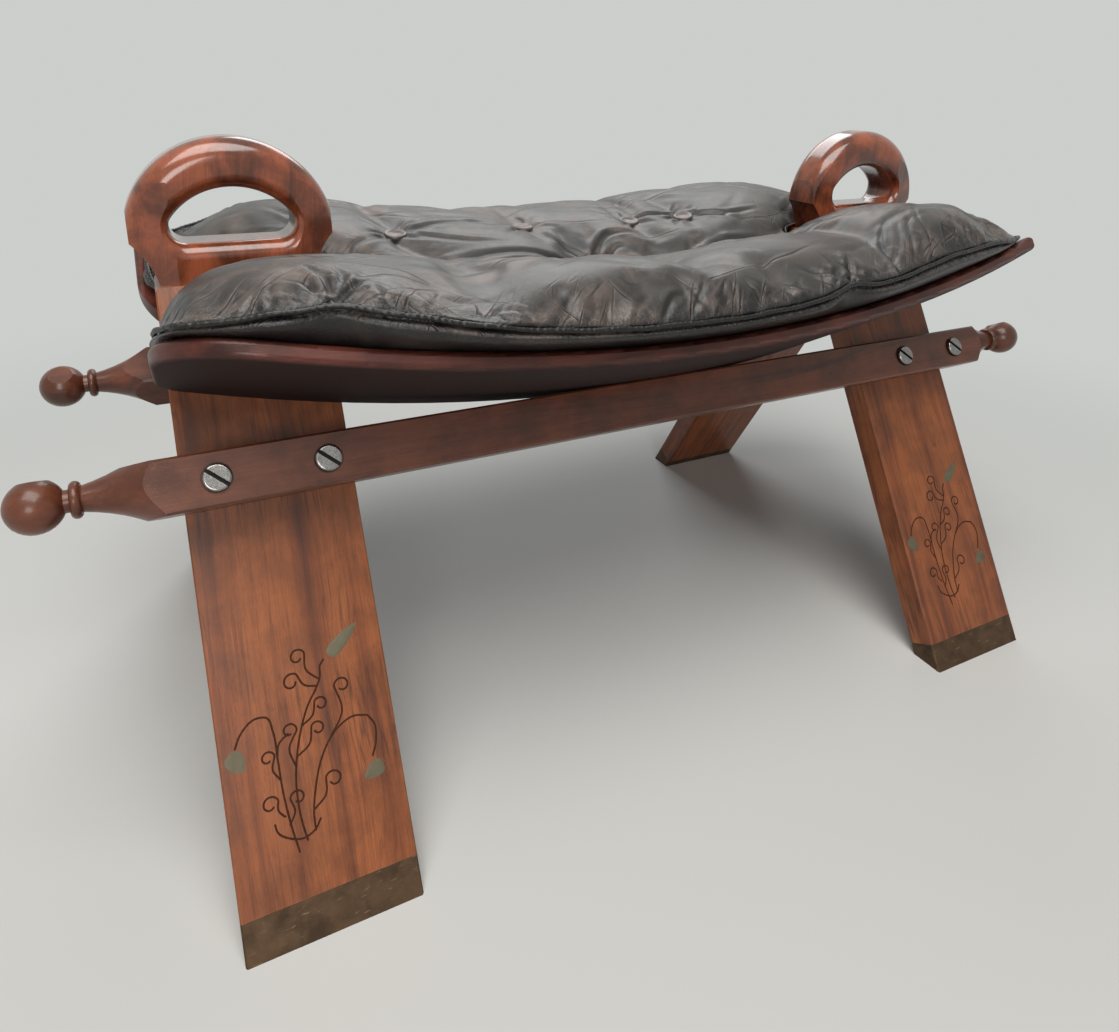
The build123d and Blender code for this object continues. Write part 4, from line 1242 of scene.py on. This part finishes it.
def smoothed(cushion):
    """A smoothed mesh of the cushion, twice as fine again on its top and sides."""
    mesh = mesh_of("leather_cushion", cushion.points * MM, cushion.faces)
    piece = bpy.data.objects.new("leather_cushion", mesh)
    bpy.context.scene.collection.objects.link(piece)
    place = mesh.attributes.new("place", "FLOAT", "POINT")
    under = np.zeros(len(cushion.points))
    under[cushion.top_count:cushion.top_count + cushion.bottom_count] = 1.0
    top = np.zeros(len(cushion.points))
    top[:cushion.top_count] = 1.0
    top[cushion.seam_loop] = 0.5
    place.data.foreach_set("value", top - under)
    smooth = piece.modifiers.new("smooth", "SUBSURF")
    smooth.levels = smooth.render_levels = 1
    mesh = bpy.data.meshes.new_from_object(piece.evaluated_get(bpy.context.evaluated_depsgraph_get()))
    bpy.data.objects.remove(piece)
    shell = bmesh.new()
    shell.from_mesh(mesh)
    place = shell.verts.layers.float["place"]
    fine = [edge for edge in shell.edges if all(vert[place] > -0.99 for vert in edge.verts)]
    bmesh.ops.subdivide_edges(shell, edges=fine, cuts=1, use_grid_fill=True)
    seen = [vert for vert in shell.verts if vert[place] > -0.5 and abs(vert[place] - 0.5) > 0.05]
    bmesh.ops.smooth_vert(shell, verts=seen, factor=0.5, use_axis_x=True, use_axis_y=True, use_axis_z=True)
    shell.to_mesh(mesh)
    shell.free()
    return mesh


# Pleats that run in from the seam: their slants, lengths and depths
PLEATS = {
    "short": ((-0.5, 0.5), (8, 20), (0.2, 0.5)),
    "long": ((0.6, 1.5), (24, 66), (0.5, 1.15)),
    "crossed": ((0.7, 1.3), (12, 36), (0.35, 0.9)),
    "plain": ((-0.9, 0.9), (9, 28), (0.3, 0.8)),
}
PLEAT_GAPS = (6.5, 14.5)
# Folds round a tuft: their number, where they start, their lengths and depths
DEEP_FOLDS = (11, 2.5, (20, 58), (0.7, 1.7))
BUTTON_FOLDS = (8, 6.5, (10, 32), (0.5, 1.2))
WRINKLES = 80
CREASE_SEED = 11


def crease_from(random, place, towards, length, depth, width):
    """A crease that runs out from a place and wanders a little."""
    middle = place + towards * length * 0.5 + random.normal(0, 0.05, 2) * length
    end = place + towards * length + random.normal(0, 0.08, 2) * length
    return flowing((place, middle, end), 2.5), depth, width, 0.0


def pleat_kind(x):
    """The kind of pleat at a place along the front lobe, or the back lobe turned half round."""
    if abs(x) > 262:
        return "short"
    if x > 110:
        return "long"
    return "crossed" if -160 < x < -20 or 10 < x < 80 else "plain"


def seam_pleats(cushion, random):
    """Pleats that run in from the seam all round."""
    pleats = []
    seam = cushion.points[cushion.seam_loop][:, :2]
    steps = np.linalg.norm(np.roll(seam, -1, 0) - seam, axis=1)
    gone = wanted = 0.0
    for number, (x, y) in enumerate(seam):
        gone += steps[number - 1]
        if gone < wanted or abs(y) < SLIT_HALF_WIDTH + 1:
            continue
        gone, wanted = 0.0, random.uniform(*PLEAT_GAPS)
        way = 1.0 if y < 0 else -1.0
        inwards = -cushion.outwards[number]
        along = np.array((-inwards[1], inwards[0]))
        along *= way * np.sign(along[0] or 1.0)
        kind = pleat_kind(way * x)
        slants, lengths, depths = PLEATS[kind]
        slant = random.choice((-1, 1)) if kind == "crossed" else 1
        slant = slant * random.uniform(*slants)
        length, depth = random.uniform(*lengths), random.uniform(*depths)
        towards = inwards + slant * along
        pleats.append(crease_from(random, np.array((x, y)), towards / np.linalg.norm(towards), length,
                                  depth, random.uniform(1.2, 2.0)))
    return pleats


def pinch_pleats(random):
    """Fans of pleats from the pinches of the seam."""
    pleats = []
    for place in PINCHES:
        for way in (1, -1):
            knot = np.array((way * place, -way * (float(lobe(HALF_WIDTH, place, -1)) - 2.5)))
            for angle in np.linspace(-66, 66, 9):
                angle = radians(angle + random.uniform(-5, 5))
                towards = way * np.array((sin(angle), cos(angle)))
                pleats.append(crease_from(random, knot, towards, random.uniform(16, 42),
                                          random.uniform(0.9, 1.8), random.uniform(1.7, 2.6)))
    return pleats


def tuft_folds(random):
    """Folds that run out from the buttons and the deep tufts."""
    folds = []
    for x, y, depth in (*BUTTONS, *DEEP_TUFTS):
        count, from_middle, lengths, depths = DEEP_FOLDS if depth > DEEP else BUTTON_FOLDS
        for number in range(count):
            angle = 2 * pi * (number + random.uniform(-0.3, 0.3)) / count
            towards = np.array((cos(angle), 0.75 * sin(angle)))
            start = np.array((x, y)) + towards * from_middle
            folds.append(crease_from(random, start, towards, random.uniform(*lengths),
                                     random.uniform(*depths), random.uniform(1.6, 2.6)))
    return folds


def wrinkles(random):
    """Faint long wrinkles, mostly along the cushion."""
    found = []
    for _ in range(WRINKLES):
        x, side = random.uniform(-255, 255), random.choice((-1, 1))
        place = np.array((x, side * random.uniform(38, 132)))
        angle = radians(random.normal(0, 26))
        length = random.uniform(30, 110)
        towards = np.array((cos(angle), sin(angle)))
        bow = np.array((-towards[1], towards[0])) * random.normal(0, 0.10) * length
        way = flowing((place - towards * length / 2, place + bow, place + towards * length / 2), 4.0)
        found.append((way, random.uniform(0.15, 0.55), random.uniform(2.4, 5.5), 0.35))
    return found


def crease_paths(cushion):
    """Every crease in the top: its way, its depth, its width and the share of it that starts slowly."""
    random = np.random.RandomState(CREASE_SEED)
    creases = [(flowing(way, 3.0), depth, width, 0.10) for way, depth, width in LONG_FOLDS]
    creases += seam_pleats(cushion, random)
    creases += pinch_pleats(random)
    creases += tuft_folds(random)
    return creases + wrinkles(random)


def pressed(plan, creases):
    """How far each place is pressed in, or raised beside a crease, and how deep in a crease it is."""
    lift = np.zeros(len(plan))
    mark = np.zeros(len(plan))
    for path, depth, width, first in creases:
        low, high = path.min(0) - 4.5 * width, path.max(0) + 4.5 * width
        near = np.nonzero((plan[:, 0] > low[0]) & (plan[:, 0] < high[0])
                          & (plan[:, 1] > low[1]) & (plan[:, 1] < high[1]))[0]
        where = plan[near]
        best = np.full(len(near), 1e9)
        side = np.zeros(len(near))
        along = np.zeros(len(near))
        gone = 0.0
        for start, end in zip(path[:-1], path[1:]):
            run = end - start
            length = float(np.hypot(*run)) or 1e-6
            share = np.clip(((where - start) @ run) / length**2, 0, 1)
            gap = where - start - share[:, None] * run
            away = np.hypot(gap[:, 0], gap[:, 1])
            closer = away < best
            best[closer] = away[closer]
            side[closer] = np.sign(run[0] * gap[closer, 1] - run[1] * gap[closer, 0])
            along[closer] = gone + share[closer] * length
            gone += length
        along /= gone
        taper = eased((1 - along) / 0.55) * (eased(along / first) if first else 1.0)
        across = best * side / width
        valley = np.exp(-across**2)
        ridges = 0.70 * np.exp(-((across - 1.8) / 1.15)**2) + 0.30 * np.exp(-((across + 1.8) / 1.15)**2)
        lift[near] += depth * taper * (ridges - valley)
        mark[near] = np.minimum(mark[near], -taper * np.exp(-(1.5 * across)**2) * min(1.0, depth / 1.1))
        mark[near] += taper * 0.35 * min(1.0, depth / 1.1) * np.exp(-((across - 1.7) / 0.8)**2)
    return lift, np.clip(mark, -1, 1)


def crease(mesh, cushion):
    """Presses the creases into the top of the smoothed mesh, and marks it for the leather's finish: low in
    the crease valleys, which take painted shade, and high on the ridges, which are lightened, partly as wear
    and partly as a painted highlight.
    """
    points = values_of(mesh.vertices, "co", 3) / MM
    normals = values_of(mesh.vertex_normals, "vector", 3)
    place = values_of(mesh.attributes["place"].data, "value", 1)
    distance = nearest(points, cushion.points[cushion.seam_loop])
    top = place > 0.52
    lift = np.zeros(len(points))
    mark = np.zeros(len(points))
    lift[top], mark[top] = pressed(points[top][:, :2], crease_paths(cushion))
    lift *= np.clip((distance - 1.0) / 5.0, 0, 1)
    tight = np.zeros(len(points), bool)
    for x, y, _ in BUTTONS:
        tight |= (np.hypot(points[:, 0] - x, points[:, 1] - y) < 7.5) & top
    lift[tight] *= 0.3
    points += normals * np.clip(lift, -3.4, 2.2)[:, None]
    mesh.vertices.foreach_set("co", (points * MM).ravel())
    mesh.attributes.remove(mesh.attributes["place"])
    in_slit = (np.abs(points[:, 1]) < 30) & (np.abs(points[:, 0]) > 160)
    by_seam = np.exp(-(distance / 11.0)**2) * np.where(in_slit, 0.3, 1.0)
    for name, values in (("fold", mark), ("by_seam", by_seam)):
        mesh.attributes.new(name, "FLOAT", "POINT").data.foreach_set("value", values)
    shade_smooth(mesh)


def leather_surface(mesh):
    mesh.calc_loop_triangles()
    triangles = [tuple(one.vertices) for one in mesh.loop_triangles]
    return BVHTree.FromPolygons([vertex.co for vertex in mesh.vertices], triangles)


# A covered button from its middle to its edge: how far out and how high, as shares of its radius
BUTTON_PROFILE = ((0.0, -0.10), (0.35, -0.08), (0.66, 0.0), (0.82, 0.10), (0.93, 0.06), (1.0, -0.14),
                  (0.98, -0.34), (0.86, -0.52))
BUTTON_TURNS = 28
BUTTON_SEED = 5
SEAT_REACH = 9                     # round a button, where its seat in the leather is felt for
RAY_START = 0.6                    # in metres, above the cushion


def button_seat(surface, x, y):
    """The middle of a button that is sunk in the leather, and its directions along, across and up."""
    def touch(from_x, from_y):
        return surface.ray_cast(Vector((from_x * MM, from_y * MM, RAY_START)), Vector((0, 0, -1)))[0]

    found = [touch(x + SEAT_REACH * cos(angle), y + SEAT_REACH * sin(angle))
             for angle in np.linspace(0, 2 * pi, 8, endpoint=False)]
    middle = sum(found, Vector()) / len(found)
    under = touch(x, y)
    up = Vector()
    for a, b in zip(found, found[1:] + found[:1]):
        up += (a - middle).cross(b - middle)
    up.normalize()
    middle = under + up * max((middle - under).dot(up) * 0.45, 1.1 * MM)
    along = (Vector((1, 0, 0)) - up * up.x).normalized()
    return middle, along, up.cross(along), up


def covered_buttons(surface, radius):
    """Flat leather-covered buttons with a rolled rim, sunk and tilted with the leather round them."""
    points, faces = [], []
    random = np.random.RandomState(BUTTON_SEED)
    turns = BUTTON_TURNS
    for x, y, _ in BUTTONS:
        middle, along, across, up = button_seat(surface, x, y)
        first = len(points)
        wobble = 1 + 0.035 * np.sin(np.arange(turns) * 2 * pi / turns * 3 + random.uniform(0, 6))
        points.append(middle + up * BUTTON_PROFILE[0][1] * radius)
        for reach, height in BUTTON_PROFILE[1:]:
            for k in range(turns):
                angle = 2 * pi * k / turns
                spread = reach * radius * wobble[k]
                points.append(middle + along * cos(angle) * spread + across * sin(angle) * spread
                              + up * height * radius)
        for k in range(turns):
            after = (k + 1) % turns
            faces.append((first, first + 1 + k, first + 1 + after))
            for ring in range(len(BUTTON_PROFILE) - 2):
                a = first + 1 + ring * turns
                faces.append((a + k, a + turns + k, a + turns + after, a + after))
        last = first + 1 + (len(BUTTON_PROFILE) - 2) * turns
        faces.append(tuple(last + k for k in reversed(range(turns))))
    return mesh_of("covered_buttons", points, faces)


SEAM_WAVES = (23, 41, 67)          # in the height of the seam's welt, all round
SEAM_SEED = 3
WELT_OUT = 1.1
STITCHES_IN = 1.2


class STOOL_OT_stuff_cushion(bpy.types.Operator):
    """Sew, stuff and tuft the leather cushion"""
    bl_idname = "stool.stuff_cushion"
    bl_label = "Stuff the Cushion"

    def execute(self, context):
        sizes = context.scene.stool_sizes
        cushion = Cushion(PANEL_SPACING).build()
        blow_up(cushion, sizes.swell / MM)
        mesh = smoothed(cushion)
        crease(mesh, cushion)
        leather = worn_leather("cushion_leather", *tones("leather", "dust_and_sheen", "scuff_and_highlight"))
        surface = leather_surface(mesh)
        piece = new_piece("leather_cushion", mesh, leather, "cushion")
        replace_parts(piece, "cushion")
        covered = worn_leather("button_leather", *BUTTON_LEATHER, roughness=0.34)
        buttons = covered_buttons(surface, sizes.button)
        shade_smooth(buttons)
        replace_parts(new_piece("covered_buttons", buttons, covered, "cushion"),
                    "cushion_buttons")
        self.edge_seam(cushion, sizes)
        return {"FINISHED"}

    def edge_seam(self, cushion, sizes):
        """Rolls the welt along the seam and stitches it down."""
        seam = cushion.points[cushion.seam_loop]
        round_seam = 2 * pi * np.arange(len(seam)) / len(seam)
        random = np.random.RandomState(SEAM_SEED)
        waves = sum(random.uniform(0.2, 0.5) * np.sin(cycles * round_seam + random.uniform(0, 6))
                    for cycles in SEAM_WAVES)
        line = seam.copy()
        line[:, :2] += cushion.outwards * WELT_OUT
        line[:, 2] += 0.2 + 0.5 * waves
        black = black_welt("welt_leather")
        welt = along_paths("seam_welt", [line * MM], True, round_line_tree(), black, Radius=sizes.welt,
                           Pitch=sizes.stitch, Nip=0.07, Uneven=0.13)
        new_piece("seam_welt", welt, black, "cushion")
        above = seam.copy()
        above[:, :2] -= cushion.outwards * STITCHES_IN
        above[:, 2] += sizes.welt / MM * 0.80 + 0.1 + 0.4 * waves
        thread = waxed_thread("seam_thread")
        stitches = along_paths("seam_stitches", [above * MM], True, stitch_tree(), thread,
                               Pitch=sizes.stitch, Length=0.62 * sizes.stitch, Radius=0.23 * MM)
        new_piece("seam_stitches", stitches, thread, "cushion")


OPERATORS = (STOOL_OT_set_stage, STOOL_OT_finish_legs, STOOL_OT_finish_rails, STOOL_OT_finish_boards,
             STOOL_OT_finish_handles, STOOL_OT_stuff_cushion)


class STOOL_PT_maker(bpy.types.Panel):
    """Lists the stool's pieces in the order they are made"""
    bl_idname = "STOOL_PT_maker"
    bl_label = "Camel Saddle Stool"
    bl_space_type = "VIEW_3D"
    bl_region_type = "UI"
    bl_category = "Saddle Stool"

    def draw(self, context):
        for operator in OPERATORS:
            self.layout.operator(operator.bl_idname)
        for group in (context.scene.stool_colours, context.scene.stool_sizes, context.scene.stool_stage):
            box = self.layout.box()
            for name in group.__annotations__:
                box.prop(group, name)


GROUPS = {"stool_colours": StoolColours, "stool_sizes": StoolSizes, "stool_stage": StageSettings}


def register():
    for group in GROUPS.values():
        bpy.utils.register_class(group)
    for name, group in GROUPS.items():
        setattr(bpy.types.Scene, name, bpy.props.PointerProperty(type=group))
    for operator in OPERATORS:
        bpy.utils.register_class(operator)
    bpy.utils.register_class(STOOL_PT_maker)


def unregister():
    bpy.utils.unregister_class(STOOL_PT_maker)
    for operator in reversed(OPERATORS):
        bpy.utils.unregister_class(operator)
    for name in GROUPS:
        delattr(bpy.types.Scene, name)
    for group in GROUPS.values():
        bpy.utils.unregister_class(group)


def main():
    register()
    bpy.ops.stool.set_stage()
    bpy.ops.stool.finish_legs()
    bpy.ops.stool.finish_rails()
    bpy.ops.stool.finish_boards()
    bpy.ops.stool.finish_handles()
    bpy.ops.stool.stuff_cushion()


if __name__ == "__main__":
    main()
